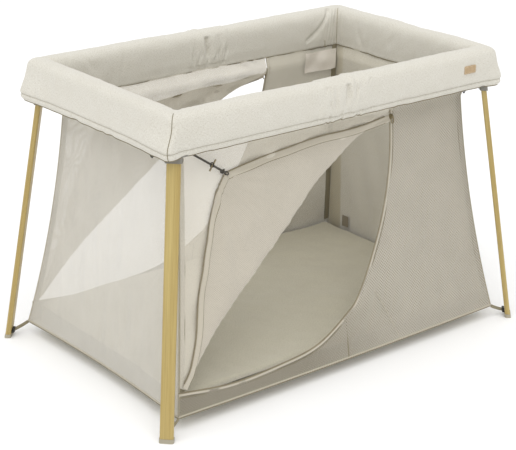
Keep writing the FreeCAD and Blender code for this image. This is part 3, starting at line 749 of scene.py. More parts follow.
LOOP_LOOK = tape("dark_loop", (58, 56, 54), (36, 35, 34), rib=0.0012)
TOGGLE_WOOD = leather("toggle_wood", (150, 138, 106), (106, 95, 70))
LABEL = leather("label", (190, 166, 132), (172, 146, 112))
TAG_CLOTH = tape("tag_cloth", (150, 140, 122), (124, 115, 98), rib=0.0010)
CARE = melange("care_tag", (224, 217, 206), (216, 209, 198), (202, 195, 183), pitch=0.0008)
STITCH = tape("stitching", (226, 210, 182), (204, 186, 156), rib=0.0008)

CAD_LOOKS = {"wood": bamboo("wood"), "plastic_grey": moulded("plastic_grey", (124, 121, 113),
    (138, 135, 127)), "plastic_light": moulded("plastic_light", (162, 155, 136), (176, 169, 150)),
    "plastic_black": moulded("plastic_black", (40, 39, 38), (58, 57, 55), 0.5),
    "steel": metal("steel", (176, 178, 182), 0.32), "steel_pin": metal("steel_pin", (196, 197, 200), 0.26),}


def dress_cad():
    """Gives every CAD node that stays in view its finish."""
    for entry in frame["record"]["subparts"]:
        if entry["material_slot"] in CAD_LOOKS:
            mesh = frame["nodes"][entry["node"]].data
            mesh.materials.clear()
            mesh.materials.append(CAD_LOOKS[entry["material_slot"]])


# ---- placing pieces ----------------------------------------------------------------------------
FOLD_ANCHOR, FOLD_KEEP = (0.44, 0, 0), 0.424


def gathers(piece, body="right_end"):
    """Rides a body and gathers along X as the pen folds."""
    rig.ride(piece, body)
    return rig.squash(piece, "fold", axis=(1, 0, 0), anchor=FOLD_ANCHOR, keep=FOLD_KEEP)


# ---- tie cords, taut between the rail and the tip of each folded flap ---------------------------
CORD_TOP, CORD_TIP, CORD_R = (-0.383, 0.2325, 0.575), (-0.297, 0.2325, 0.517), 0.0025
CORD_LENGTH = 0.1037


def make_tie(name, side):
    def at(share, out=0.0):
        top, tip = np.array(CORD_TOP), np.array(CORD_TIP)
        p = top + (tip - top) * share
        return np.array((p[0], side * (p[1] + out), p[2]))
    route = np.array([at(t) for t in np.linspace(0, 1, 60)])
    cord = tube(name + "_tie_cord_braid", route, CORD_R, CORD_LOOK, sides=16, pitch=0.008)
    middle = at(0.58, 0.0045)
    half = np.array((0.008, 0, 0.011))
    bar = np.array([middle + half * t for t in np.linspace(-1, 1, 25)])
    toggle = tube(name + "_tie_toggle_bar", bar, 0.0019, TOGGLE_WOOD, sides=14)
    turns = circle(46)
    forward = (at(1) - at(0)) / np.linalg.norm(at(1) - at(0))
    out = np.array((0, side, 0.0))
    lift = np.cross(forward, out)
    knot_path = [at(0.93) + forward * 0.0028 * math.sin(2 * a) * 0.9 + (out * math.cos(a) + lift
        * math.sin(a)) * (0.0036 + 0.0009 * math.cos(3 * a)) for a in turns]
    knot = tube(name + "_tie_knot", knot_path, 0.0019, CORD_LOOK, sides=12, closed=True, pitch=0.007)
    wrap_path = [at(0.58, 0.0022) + forward * 0.0012 * math.sin(a) + out * 0.0052 * math.cos(a) + lift
        * 0.0046 * math.sin(a) for a in turns]
    wrap = tube(name + "_tie_wrap", wrap_path, 0.0012, LOOP_LOOK, sides=10, closed=True)
    loop_path = [at(1.0, 0.001) + forward * (0.003 + 0.005 * math.cos(a)) + lift * 0.0032 * math.sin(a) + out
        * 0.001 * math.cos(a) for a in turns]
    loop = tube(name + "_tie_loop", loop_path, 0.0011, LOOP_LOOK, sides=10, closed=True)
    for piece in (cord, toggle, knot, wrap, loop):
        gathers(piece)
        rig.slot(piece, "cord")
    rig.slot(toggle, "toggle_wood")
    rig.replaces(cord, name + "_tie_cord")
    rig.replaces(toggle, name + "_tie_toggle")
    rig.cord(cord, exit=at(0), length=CORD_LENGTH, diameter=2 * CORD_R, far_end="knot", stiffness="limp",
        lay="taut", path=route, with_pieces=[knot, toggle, wrap, loop])


# ---- rail cover --------------------------------------------------------------------------------
# The padded section in millimetres: (from the rail's middle plane towards its outside, height), from mid top
SECTION_END = [(0, 679), (11, 677.8), (19, 674), (24, 666.5), (26.4, 652), (28.2, 634), (30.2, 617),
    (31.4, 606), (30.6, 600.5), (31.4, 595), (29.6, 588.5), (23, 584.4), (8, 583.8), (-8, 583.8),
    (-21, 584.6), (-25.6, 589), (-26.4, 598), (-27.8, 612), (-28.4, 632), (-27.6, 651), (-24.8, 664),
    (-19, 673), (-11, 677.6)]
SECTION_LONG = [(0, 679), (13, 677.5), (21, 673), (26.2, 665), (28.2, 651), (28.6, 635), (27.4, 618),
    (24.8, 606), (21.8, 600), (21.6, 595), (18.0, 588.5), (10.5, 584.4), (1, 583.8), (-9, 583.8),
    (-19, 584.6), (-24.6, 589), (-26, 598), (-27.8, 612), (-28.4, 632), (-27.6, 651), (-24.8, 664),
    (-19, 673), (-11, 677.6)]
SECTION_SAMPLES = 4
HEM_GROOVE, HEM_EDGE, INNER_EDGE = 8, 11, 15          # places in the lists above
PAD_THICK = 56.0
OUTER_X, OUTER_Y, OUTER_R = 0.467, 0.280, 0.016
INNER_X, INNER_Y, INNER_R = 0.411, 0.224, 0.010
STRAIGHT_X, STRAIGHT_Y = 0.372, 0.190
SPLIT_CORNER, SPLIT_CENTRE = 0.399, 0.034
# Creases pressed into the cover: paths of (x, height) on the inside of the back rail
FOLD_IN_CORNER = [(0.392, 0.679), (0.379, 0.665), (0.363, 0.647), (0.337, 0.625), (0.3135, 0.6106)]
SHORT_SEAM = [(0.3715, 0.604), (0.3718, 0.585)]


def section_loop(points):
    """Catmull-Rom samples, the same number in each span, so that two sections match point for point."""
    p = np.asarray(points, float)
    t = np.arange(SECTION_SAMPLES)[:, None] / SECTION_SAMPLES
    loop = []
    for i in range(len(p)):
        a, b, c, d = (p[(i + k) % len(p)] for k in (-1, 0, 1, 2))
        loop.append(catmull_rom(a, b, c, d, t))
    return np.vstack(loop)


def quadrant_stations():
    """Matching points of the rail's outer and inner outlines, from mid front to mid right end."""
    xs = np.concatenate([np.arange(0, 0.09, 0.0018), np.arange(0.0905, 0.285, 0.005),
        np.arange(0.288, 0.372, 0.0022)])
    outer = [(x, OUTER_Y) for x in xs]
    inner = [(x, INNER_Y) for x in xs]
    steps = np.linspace(0, 1, 26, endpoint=False)
    outer += [(STRAIGHT_X + (OUTER_X - OUTER_R - STRAIGHT_X) * k, OUTER_Y) for k in steps]
    inner += [(STRAIGHT_X + (INNER_X - INNER_R - STRAIGHT_X) * k, INNER_Y) for k in steps]
    for angle in np.radians(np.linspace(0, 90, 17)):
        s, c = math.sin(angle), math.cos(angle)
        outer.append((OUTER_X - OUTER_R * (1 - s), OUTER_Y - OUTER_R * (1 - c)))
        inner.append((INNER_X - INNER_R * (1 - s), INNER_Y - INNER_R * (1 - c)))
    for k in np.linspace(0, 1, 22)[1:]:
        outer.append((OUTER_X, OUTER_Y - OUTER_R + (STRAIGHT_Y - OUTER_Y + OUTER_R) * k))
        inner.append((INNER_X, INNER_Y - INNER_R + (STRAIGHT_Y - INNER_Y + INNER_R) * k))
    for y in np.linspace(STRAIGHT_Y, 0, 44)[1:]:
        outer.append((OUTER_X, y))
        inner.append((INNER_X, y))
    return np.array(outer), np.array(inner)


def ring_stations():
    """The whole loop, counter-clockwise from mid front: outer and inner points."""
    outer, inner = quadrant_stations()
    parts_outer, parts_inner = [], []
    for flip_x, flip_y, backwards in ((1, -1, False), (1, 1, True), (-1, 1, False), (-1, -1, True)):
        for source, target in ((outer, parts_outer), (inner, parts_inner)):
            points = source * (flip_x, flip_y)
            target.append(points[::-1][1:] if backwards else points[(1 if target else 0):])
    return np.vstack(parts_outer)[:-1], np.vstack(parts_inner)[:-1]


SECTION_GIRTH = 0.282


def crease(u, v, at, angle, length, width, depth):
    """One short pressed fold, with the cloth raised a little beside it."""
    du = u - at[0]
    dv = (v - at[1] + SECTION_GIRTH / 2) % SECTION_GIRTH - SECTION_GIRTH / 2
    along = du * math.sin(angle) + dv * math.cos(angle)
    off = du * math.cos(angle) - dv * math.sin(angle)
    bend = off + 0.12 * along ** 2 / length
    return depth * bell(along, length) * (0.45 * bell(bend - 1.7 * width, 1.4 * width) - bell(bend, width))


# Short creases: how many, then the spread of their lean and the ranges of their length, width and depth
SLACK_CREASES = 60, 0.5, (0.015, 0.045), (0.005, 0.011), (0.0006, 0.0019)
GATHER_CREASES = 34, 0.35, (0.010, 0.026), (0.0022, 0.0046), (0.0014, 0.0034)
# The deep pinch over a centre hinge: where round the section, and the lean, of each of its folds
PINCH_FOLDS = ((0.01, 0.05), (0.055, -0.16), (0.21, 0.12), (0.25, -0.05))
PINCH_LENGTH, PINCH_WIDTH, PINCH_DEPTH = 0.026, 0.0048, 0.0062
PUCKER_DEPTH, PUCKER_PITCH, PUCKER_SPAN = 0.0006, 0.0078, 0.009
GROOVE_DEPTH, GROOVE_WIDTH = 0.0014, 0.0022
HINGE_COVER_Z, DEEPEST_OVER_HINGE = 0.664, -0.0003
CORNER_OUTSIDE, CORNER_INSIDE = (0.435, 0.248), (0.4335, 0.2465)
SKIRT_FLARE, SKIRT_Z, SKIRT_SPAN = 0.0105, 0.604, 0.030


def random_creases(u, v, seed, middle, spread, count, lean, length, width, depth):
    random = np.random.default_rng(seed)
    total = 0.0
    for _ in range(count):
        at = [random.uniform(m - s, m + s) for m, s in zip(middle, spread)]
        total = total + crease(u, v, at, random.normal(0, lean), random.uniform(*length),
            random.uniform(*width), random.uniform(*depth))
    return total


def rail_surface():
    """Points (station, round the section, 3), normals, UVs and middle line of the whole padded ring."""
    outer, inner = ring_stations()
    middle = (outer + inner) / 2
    across = outer - inner
    end_share = np.clip((np.abs(middle[:, 0]) - 0.400) / 0.040, 0, 1)
    end_share = (end_share ** 2 * (3 - 2 * end_share))[:, None, None]
    ends, longs = section_loop(SECTION_END), section_loop(SECTION_LONG)
    shape = ends * end_share + longs * (1 - end_share)
    share = 0.5 + shape[:, :, 0] / PAD_THICK
    points = np.empty(shape.shape[:2] + (3,))
    points[:, :, :2] = inner[:, None, :] + across[:, None, :] * share[:, :, None]
    points[:, :, 2] = shape[:, :, 1] / 1000
    run, around = run_along(middle), run_along(longs) / 1000
    u, v = np.broadcast_arrays(run[:, None], around[None, :])
    normals = ring_normals(points)
    x, z = points[:, :, 0], points[:, :, 2]
    outside = np.clip(shape[:, :, 0] / 20, -1, 1)
    mid_x, mid_y = np.abs(middle[:, 0])[:, None], np.abs(middle[:, 1])[:, None]
    # soft foam: broad hollows, and small slack creases all over
    lift = 0.0007 * waves(points, 0.22, 3) + 0.00022 * waves(points, 0.04, 5)
    total = run[-1]
    lift = lift + random_creases(u, v, 6, (total / 2, 0.12), (total / 2, 0.10), *SLACK_CREASES)
    # puckers along the stitched hem, above and below its groove
    groove = around[HEM_GROOVE * SECTION_SAMPLES]
    rough = 2 * math.pi * run / PUCKER_PITCH + 2.4 * waves(middle, 0.04, 7)
    lift = lift + PUCKER_DEPTH * bell(v - groove, PUCKER_SPAN) * np.sin(rough)[:, None]
    lift = lift - GROOVE_DEPTH * bell(v - groove, GROOVE_WIDTH)
    # gathers over the centre hinges, drawn in round one deep pinch
    for place, seed in ((0.0, 11), (float(run[len(run) // 2]), 12)):
        near = bell(np.minimum(np.abs(u - place), np.abs(u - place - total)), 0.10)
        lift = lift - 0.0020 * near * (mid_y > 0.2) * (0.4 + 0.6 * (z > 0.62))
        for wrap in ((0.0, total) if place == 0.0 else (0.0,)):
            lift = lift + random_creases(u, v, seed, (place + wrap, 0.10), (0.062, 0.10), *GATHER_CREASES)
            for v_at, lean in PINCH_FOLDS:
                lift = lift + crease(u, v, (place + wrap, v_at), lean, PINCH_LENGTH, PINCH_WIDTH,
                    PINCH_DEPTH)
    beside = np.minimum(np.abs(u - total / 2), np.minimum(u, total - u))
    lift = lift + 0.0026 * (bell(beside - 0.022, 0.014) + 0.6 * bell(beside - 0.05,
        0.012)) * (z > 0.6) * (mid_y > 0.2)
    over_hinge = (mid_y > 0.2) * bell(beside, 0.06) * np.clip((z - HINGE_COVER_Z) / 0.006, 0, 1)
    lift = np.where(over_hinge > 0.3, np.maximum(lift, DEEPEST_OVER_HINGE), lift)
    # corners: cover flared low on the ends, creases gathered on the inside
    corner = bell(np.hypot(mid_x - CORNER_OUTSIDE[0], mid_y - CORNER_OUTSIDE[1]), 0.060)
    inside_fold = np.sin(2 * math.pi * (u + 0.25 * (z - 0.63)) / 0.017)
    lift = lift + 0.0007 * corner * inside_fold * np.clip(-outside, 0, 1)
    pinch = bell(np.hypot(mid_x - CORNER_INSIDE[0], mid_y - CORNER_INSIDE[1]), 0.006)
    lift = lift - 0.0026 * pinch * np.clip(-outside, 0, 1)
    on_back = (middle[:, 1] > 0.2)[:, None] & (outside < -0.5)
    for path, depth, width in ((FOLD_IN_CORNER, 0.0060, 0.0046), (SHORT_SEAM, 0.0012, 0.0022)):
        line = smooth_path(path, 0.003)
        gap = np.min(np.hypot(x[:, :, None] - line[:, 0], z[:, :, None] - line[:, 1]), axis=2)
        lift = lift - depth * bell(gap, width) * on_back
    points = points + normals * lift[:, :, None]
    flare = SKIRT_FLARE * corner * bell(z - SKIRT_Z, SKIRT_SPAN) * np.clip(outside, 0, 1)
    points[:, :, 0] += np.sign(x) * flare
    return points, ring_normals(points), np.stack([u, v], axis=-1), middle


def ring_normals(points):
    along = np.roll(points, -1, 0) - np.roll(points, 1, 0)
    around = np.roll(points, -1, 1) - np.roll(points, 1, 1)
    normals = np.cross(around, along)
    normals /= np.linalg.norm(normals, axis=2, keepdims=True)
    middle = points.mean(axis=1, keepdims=True)
    if (np.einsum("ijk,ijk->ij", normals, points - middle)).mean() < 0:
        normals = -normals
    return normals


def make_rail_cover():
    points, normals, uv, middle = rail_surface()
    stations, count = points.shape[:2]
    low_x, high_x = points[:, :, 0].min(1), points[:, :, 0].max(1)
    front, back = middle[:, 1] < -0.2, middle[:, 1] > 0.2

    def index_near(x, row):
        found = np.where(row)[0]
        return found[np.argmin(np.abs(middle[found, 0] - x))]

    def wedge(x_limit, row):
        """The station nearest a corner whose points all lie past x_limit."""
        found = [i for i in np.where(row)[0] if (low_x[i] >= x_limit if x_limit > 0
            else high_x[i] <= x_limit)]
        return min(found, key=lambda i: abs(middle[i, 0]))

    front_right, back_right = wedge(SPLIT_CORNER, front), wedge(SPLIT_CORNER, back)
    front_left, back_left = wedge(-SPLIT_CORNER, front), wedge(-SPLIT_CORNER, back)
    centre_right, centre_left = index_near(SPLIT_CENTRE, front), index_near(-SPLIT_CENTRE, front)
    centre_back = index_near(0.0, back)

    def pieces_between(name, first, last, caps=()):
        """The cover between two stations, and the dark piping and binding on its lower edges, partly real piping and
        partly painted shadow under the hem.
        """
        rows = [i % stations for i in range(first, last + 1 if last >= first else last + 1 + stations)]
        faces = grid_faces(len(rows), count, close_columns=True)
        for cap in caps:
            base = 0 if cap == "first" else (len(rows) - 1) * count
            ring = list(range(base, base + count))
            faces.append(tuple(ring if cap == "first" else ring[::-1]))
        cover = new_piece(name, points[rows].reshape(-1, 3), faces, COVER, uv[rows].reshape(-1, 2),
            normals=normals[rows].reshape(-1, 3))
        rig.padded(cover, fill=0.85)
        # painted shade: these dark tubes on the hem's outer and inner lower edges stand partly for piping and partly
        # for the shadow line under the cover
        piping = tube(name + "_hem_piping", points[rows, HEM_EDGE * SECTION_SAMPLES - 2], 0.0015, HEM_PIPING_AND_SHADE,
            sides=8)
        binding = tube(name + "_inner_piping", points[rows, INNER_EDGE * SECTION_SAMPLES - 2], 0.0012,
            HEM_PIPING_AND_SHADE, sides=8)
        thread = tube(name + "_hem_thread", points[rows, HEM_GROOVE * SECTION_SAMPLES] + normals[rows,
            HEM_GROOVE * SECTION_SAMPLES] * 0.0002, 0.0006, HEM_THREAD, sides=6, pitch=0.005)
        made = [cover, piping, binding, thread]
        for piece in made:
            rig.slot(piece, "cover_fabric")
        return made

    for name, first, last, body in (("right_end", front_right, back_right, "right_end"),
            ("left_end", back_left, front_left, "left_end")):
        made = pieces_between(name + "_cover", first, last)
        for piece in made:
            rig.ride(piece, body)
        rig.replaces(made[0], name + "_pad")
    corner_right, corner_left = (0.399, 0.372), (-0.372, -0.399)
    blends = (("front_right", centre_right, front_right, "right_end", "front_right_half", corner_right, ()),
        ("front_centre", centre_left, centre_right, "front_right_half", "front_left_half", (0.014, -0.014),
        ()), ("front_left", front_left, centre_left, "front_left_half", "left_end", corner_left, ()),
        ("back_right", back_right, centre_back, "right_end", "back_right_half", corner_right, ("last",)),
        ("back_left", centre_back, back_left, "left_end", "back_left_half", corner_left[::-1], ("first",)),)
    for name, first, last, body_a, body_b, (start, end), caps in blends:
        made = pieces_between(name + "_cover", first, last, caps)
        y = math.copysign(0.25, middle[first, 1])
        if name == "back_right":
            line = np.array([(x, 0.2232, z) for x, z in smooth_path(SHORT_SEAM, 0.004)])
            seam = tube("back_corner_short_seam", line, 0.0007, SEAM_THREAD, sides=8)
            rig.slot(seam, "cover_fabric")
            made.append(seam)
        for piece in made:
            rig.blend(piece, body_a, body_b, start=(start, y, 0.63), end=(end, y, 0.63))
        if name != "front_centre":
            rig.replaces(made[0], name + "_rail_pad")

    # seams down the near left corner, outside, and the far right one, inside
    def corner_seam(name, row, near, first, last, body, look):
        station = min(np.where(row)[0], key=lambda i: np.hypot(*(middle[i] - near)))
        line = points[station, first:last] + normals[station, first:last] * 0.0003
        seam = tube(name, smooth_path(line, 0.003), 0.0007, look, sides=8)
        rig.ride(seam, body)
        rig.slot(seam, "cover_fabric")
    n = SECTION_SAMPLES
    corner_seam("front_left_corner_thread", middle[:, 0] < -0.42, (-0.437, -0.249), n, HEM_EDGE * n,
        "left_end", HEM_PIPING_AND_SHADE)
    corner_seam("back_right_corner_thread", middle[:, 0] > 0.42, CORNER_INSIDE, INNER_EDGE * n, count - 3,
        "right_end", SEAM_THREAD)


# ---- seams that all walls share ----------------------------------------------------------------
# Profiles are pairs of (sideways, out of the wall) for ribbon()
ROLLED = [(-0.0018, 0.0), (-0.0016, 0.0008), (0.0, 0.0012), (0.0016, 0.0008), (0.0018, 0.0), (0.0, -0.0009)]
THIN_ROLLED = [(a * 0.45, b * 0.8) for a, b in ROLLED]
BINDING_RISE, PIPING_DROP = 0.004, 0.0034
SEAM_INSET = 0.0016
CORNER_SEAM_BOTTOM, CORNER_SEAM_TOP = 0.034, 0.575
LONG_SEAM_PROFILE = [(-0.0013, 0.0004), (-0.0008, 0.0009), (0.0008, 0.0009), (0.0013, 0.0004)]
END_SEAM_PROFILE = [(-0.0016, 0.0004), (-0.0010, 0.0011), (0.0010, 0.0011), (0.0016, 0.0004)]
SILL_SEAM_PROFILE = [(-0.0016, 0.0), (0.0, 0.0011), (0.0016, 0.0)]
SLANTED_PROFILE = [(-0.0007, 0.0), (0.0, 0.0007), (0.0007, 0.0)]
INSIDE_TAPE_PROFILE = [(-0.0072, -0.0006), (-0.0066, -0.0018), (0, -0.0022), (0.0058, -0.0018),
    (0.0062, -0.0028), (0.0072, -0.0028), (0.0075, -0.0006)]
STITCH_PROFILE = [(-0.0009, 0.0002), (0.0, 0.0011), (0.0009, 0.0002)]
FLAP_STITCH_PROFILE = [(-0.0009, 0.0002), (0.0, 0.0012), (0.0009, 0.0002)]
ZIP_TAPE_PROFILE = [(-0.0008, 0.0002), (0.0, 0.0012), (0.0018, 0.0016), (0.0038, 0.0012), (0.0046, 0.0002)]
FLAP_TAPE_PROFILE = [(0.0, 0.0004), (0.0008, 0.0014), (0.004, 0.0010), (0.0075, 0.0012), (0.010, 0.0022),
    (0.0125, 0.0014), (0.0135, 0.0002)]


def floor_bindings(name, reach, count, surface):
    """Rolled binding along a wall's lower edge, and the thin dark piping under it."""
    line = np.stack([np.linspace(-reach, reach, count), np.full(count, FLOOR_Z + BINDING_RISE)], axis=1)
    return [ribbon(name + "_lower_binding", line, ROLLED, surface, BINDING, closed_profile=True),
        ribbon(name + "_lower_piping", line - (0, PIPING_DROP), THIN_ROLLED, surface, DARK_BINDING,
        closed_profile=True)]


# ---- long walls, doors and zips ----------------------------------------------------------------
ZIP_LINE = [(0.185, 0.592), (0.181, 0.556), (0.168, 0.440), (0.128, 0.310), (0.054, 0.174), (0, 0.127),
    (-0.088, 0.084), (-0.200, 0.070), (-0.330, 0.066), (-0.463, 0.081)]
FOLD_LINE = [(0.177, 0.549), (0.079, 0.521), (0.007, 0.481), (-0.057, 0.441), (-0.130, 0.378),
    (-0.230, 0.296), (-0.349, 0.195), (-0.446, 0.086)]
FLAP_UPPER_EDGE = [(0.174, 0.551), (0.074, 0.541), (-0.033, 0.541), (-0.127, 0.533), (-0.219, 0.524),
    (-0.296, 0.513)]
FLAP_LEFT_EDGE = [(-0.296, 0.513), (-0.321, 0.476), (-0.342, 0.425), (-0.356, 0.380), (-0.376, 0.315),
    (-0.389, 0.262), (-0.403, 0.198), (-0.426, 0.130), (-0.453, 0.0935)]
SLANTED_SEAM = [(0.083, 0.188), (0.126, 0.113), (0.165, 0.036)]
GATHER_POINT = np.array((0.18, 0.55))         # the flap bunches here, at the top of its zip


def corner_edge(sign, low, high):
    z = np.linspace(low, high, 60)
    return np.stack([sign * corner_x(z), z], axis=1)


def distance_to(points, path):
    return np.min(np.hypot(points[:, None, 0] - path[None, :, 0], points[:, None, 1] - path[None, :, 1]),
        axis=1)


def shift_path(path, offset):
    return path + offset * sideways(path)


def teeth(name, path, offset, out, surface):
    line = even_steps(shift_path(path, offset), 0.0024)
    ahead = np.gradient(line, axis=0)
    angles = np.arctan2(ahead[:, 1], ahead[:, 0])
    centres = [(x, z, out, a) for (x, z), a in zip(line, angles)]
    return blocks(name, centres, (0.0008, 0.0016, 0.0011), surface, TEETH)


def pinned(p):
    """Falls to nothing at the corner edges, where the walls are sewn together."""
    return np.clip((corner_x(p[:, 1]) - np.abs(p[:, 0])) / 0.03, 0, 1)


def make_long_wall(name, side):
    surface = long_wall(side)
    zip_line = smooth_path(ZIP_LINE, 0.005)
    fold_line = smooth_path(FOLD_LINE, 0.005)
    upper, left = smooth_path(FLAP_UPPER_EDGE, 0.005), smooth_path(FLAP_LEFT_EDGE, 0.005)
    zip_end_z = zip_line[-1][1]
    bottom = np.stack([np.linspace(-corner_x(FLOOR_Z), corner_x(FLOOR_Z), 160), np.full(160, FLOOR_Z)],
        axis=1)

    def wall_relief(p):
        pull = 0.0016 * waves(p * (1, 0.35), 0.07, 21) + 0.0008 * waves(p, 0.2, 22)
        seam = -0.0012 * bell(p[:, 0] - 0.005, 0.004) * (p[:, 1] < 0.125)
        return pull * np.clip((p[:, 1] - 0.03) / 0.05, 0, 1) * pinned(p) + seam

    # the part that stays: right of the zip and the sill below it
    outline = np.vstack([zip_line, corner_edge(-1, zip_end_z, FLOOR_Z)[1:], bottom[1:],
        corner_edge(1, FLOOR_Z, UNDER_COVER_Z)[1:], [(0.3, UNDER_COVER_Z), (zip_line[0][0], UNDER_COVER_Z)]])
    wall = trimmed_cloth(name + "_mesh_wall_cloth", outline, 0.009, surface, NET if side == FRONT
        else NET_DENSE, wall_relief)
    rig.replaces(gathers(wall), name + "_mesh_wall")
    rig.slot(wall, "mesh_fabric")
    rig.sheet(wall, flat=(0.96, 0.58), area=0.210, held="stretched", rests_on=["front_right_rail_pad"
        if side == FRONT else "back_right_rail_pad"])

    # the part of the door that still hangs above its fold
    def hung_relief(p):
        slant = p @ np.array((0.62, 0.78))
        near = bell(distance_to(p, fold_line), 0.09)
        fan = np.arctan2(0.556 - p[:, 1], 0.19 - p[:, 0])
        from_gather = np.hypot(*(p - GATHER_POINT).T)
        away = np.clip(from_gather / 0.05, 0, 1)
        gathered = bell(from_gather, 0.22)
        folds = (0.0005 * np.sin(slant / 0.011) + 0.0014 * waves(p, 0.09, 31) + 0.002 * near
            * np.sin(fan * 34) * away + 0.0034 * gathered * np.sin(fan * 19 + waves(p, 0.15, 33)) * away)
        return pinned(p) * np.clip(distance_to(p, fold_line) / 0.02, 0, 1) * folds
    outline = np.vstack([fold_line, corner_edge(-1, fold_line[-1][1], UNDER_COVER_Z)[1:],
        [(0, UNDER_COVER_Z), (0.182, UNDER_COVER_Z)]])
    hung = trimmed_cloth(name + "_door_flap_cloth", outline, 0.009, surface, NET_HUNG_BACKLIT, hung_relief)
    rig.replaces(gathers(hung), name + "_door_flap")
    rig.slot(hung, "mesh_fabric")
    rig.sheet(hung, flat=(0.65, 0.5), area=0.150, held="hung", rests_on=[wall])

    # the part folded back over it, pulled to the corner by the tie cord
    tip = np.array(FLAP_LEFT_EDGE[0])

    def folded_relief(p):
        from_fold = distance_to(p, fold_line)
        free = np.minimum(distance_to(p, upper), distance_to(p, left))
        turned = (0.0036 + 0.003 * np.clip(free / 0.04, 0, 1)) * (1 - np.exp(-from_fold / 0.006))
        billow = 0.008 * np.clip(from_fold / 0.12, 0, 1) * np.clip(free / 0.08, 0, 1)
        ray = np.arctan2(tip[1] - p[:, 1], p[:, 0] - tip[0] + 0.02)
        reach = np.hypot(*(p - tip).T)
        pulled = 0.0024 * np.sin(ray * 21 + 0.6 * waves(p, 0.2, 41)) * bell(reach - 0.12, 0.13)
        return turned + billow + pulled + 0.0012 * waves(p, 0.1, 43) * np.clip(from_fold / 0.03, 0, 1)
    outline = np.vstack([upper, left[1:], fold_line[::-1]])
    folded = trimmed_cloth(name + "_folded_flap_cloth", outline, 0.008, surface, NET_FOLDED, folded_relief)
    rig.replaces(gathers(folded), name + "_folded_flap")
    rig.slot(folded, "mesh_fabric")
    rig.sheet(folded, flat=(0.62, 0.46), area=0.105, held="folded", rests_on=[hung])

    # zip tape and teeth on the fixed side, and on the flap's free edges
    fixed_tape = ribbon(name + "_zip_tape_strip", zip_line, ZIP_TAPE_PROFILE, surface, ZIP_TAPE)
    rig.replaces(fixed_tape, name + "_zip_tape")
    tape_stitch = ribbon(name + "_zip_tape_stitching", shift_path(zip_line, 0.0078), STITCH_PROFILE, surface,
        DARK_BINDING)
    fixed_teeth = teeth(name + "_zip_teeth", zip_line[6:], -0.0022, 0.0008, surface)
    edge = np.vstack([upper, left[1:]])

    def folded_surface(x, z, out):
        p = np.stack([np.atleast_1d(x), np.atleast_1d(z)], axis=-1)
        lifted = surface(p[:, 0], p[:, 1], folded_relief(p) + out)
        return lifted[0] if np.ndim(x) == 0 else lifted
    flap_tape = ribbon(name + "_flap_zip_tape", edge, FLAP_TAPE_PROFILE, folded_surface, ZIP_TAPE)
    flap_teeth = teeth(name + "_flap_zip_teeth", edge[3:-2], -0.0012, 0.0009, folded_surface)
    flap_stitch = ribbon(name + "_flap_tape_stitching", shift_path(edge, 0.0135)[3:-3], FLAP_STITCH_PROFILE,
        folded_surface, DARK_BINDING)
    for piece in (fixed_tape, tape_stitch, fixed_teeth, flap_tape, flap_teeth, flap_stitch):
        gathers(piece)
        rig.slot(piece, "zip_tape")

    # bound lower edge, corner seams and the seam in the sill
    seams = floor_bindings(name, corner_x(FLOOR_Z), 220, surface)
    seams.append(ribbon(name + "_sill_seam", [(0.005, z) for z in np.linspace(0.120, 0.034, 30)],
        SILL_SEAM_PROFILE, surface, DARK_BINDING))
    for word, sign in (("left", -1), ("right", 1)):
        corner_line = corner_edge(sign, CORNER_SEAM_BOTTOM, CORNER_SEAM_TOP) - (sign * SEAM_INSET, 0)
        seams.append(ribbon(f"{name}_{word}_corner_seam", corner_line, LONG_SEAM_PROFILE, surface,
            SEAM_BINDING))
    for word, sign in (("left", -1), ("right", 1)):
        edge_line = corner_edge(sign, 0.084, 0.588) - (sign * 0.0078, 0)
        seams.append(ribbon(f"{name}_{word}_inside_tape", edge_line, INSIDE_TAPE_PROFILE, surface,
            DARK_BINDING))
    seams.append(ribbon(name + "_slanted_seam", smooth_path(SLANTED_SEAM, 0.004), SLANTED_PROFILE, surface,
        BINDING))
    for piece in seams:
        gathers(piece)
        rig.slot(piece, "mesh_fabric")


def make_end_wall(name, end):
    surface = end_wall(end)
    rows, columns = 110, 120
    z = np.linspace(FLOOR_Z, UNDER_COVER_Z, rows)
    v = np.linspace(-1, 1, columns)
    y = corner_y(z)[:, None] * v[None, :]
    z = np.repeat(z[:, None], columns, axis=1)
    flat = np.stack([y, z], axis=-1)
    tension = waves(flat * (1, 0.3), 0.06, 51 + end) * 0.0014 + 0.0012 * waves(flat, 0.22, 53 + end)
    relief = tension * (1 - v[None, :] ** 2) * np.clip((z - FLOOR_Z) / 0.05, 0, 1)
    points = surface(y.ravel(), z.ravel(), relief.ravel())
    wall = new_piece(name + "_end_mesh_cloth", points, grid_faces(rows, columns), NET_DENSE if end > 0
        else NET_THIN_BACKLIT, flat.reshape(-1, 2))
    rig.replaces(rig.ride(wall, name + "_end"), name + "_end_mesh")
    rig.slot(wall, "mesh_fabric")
    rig.sheet(wall, flat=(0.60, 0.57), area=0.295, held="stretched", rests_on=[name + "_end_pad"])
    pieces = floor_bindings(name + "_end", corner_y(FLOOR_Z), 160, surface)
    for word, sign in SIDES:
        z_line = np.linspace(CORNER_SEAM_BOTTOM, CORNER_SEAM_TOP, 60)
        line = np.stack([sign * (corner_y(z_line) - SEAM_INSET), z_line], axis=1)
        pieces.append(ribbon(f"{name}_end_{word}_corner_seam", line, END_SEAM_PROFILE, surface, BINDING))
    for piece in pieces:
        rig.ride(piece, name + "_end")
        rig.slot(piece, "mesh_fabric")


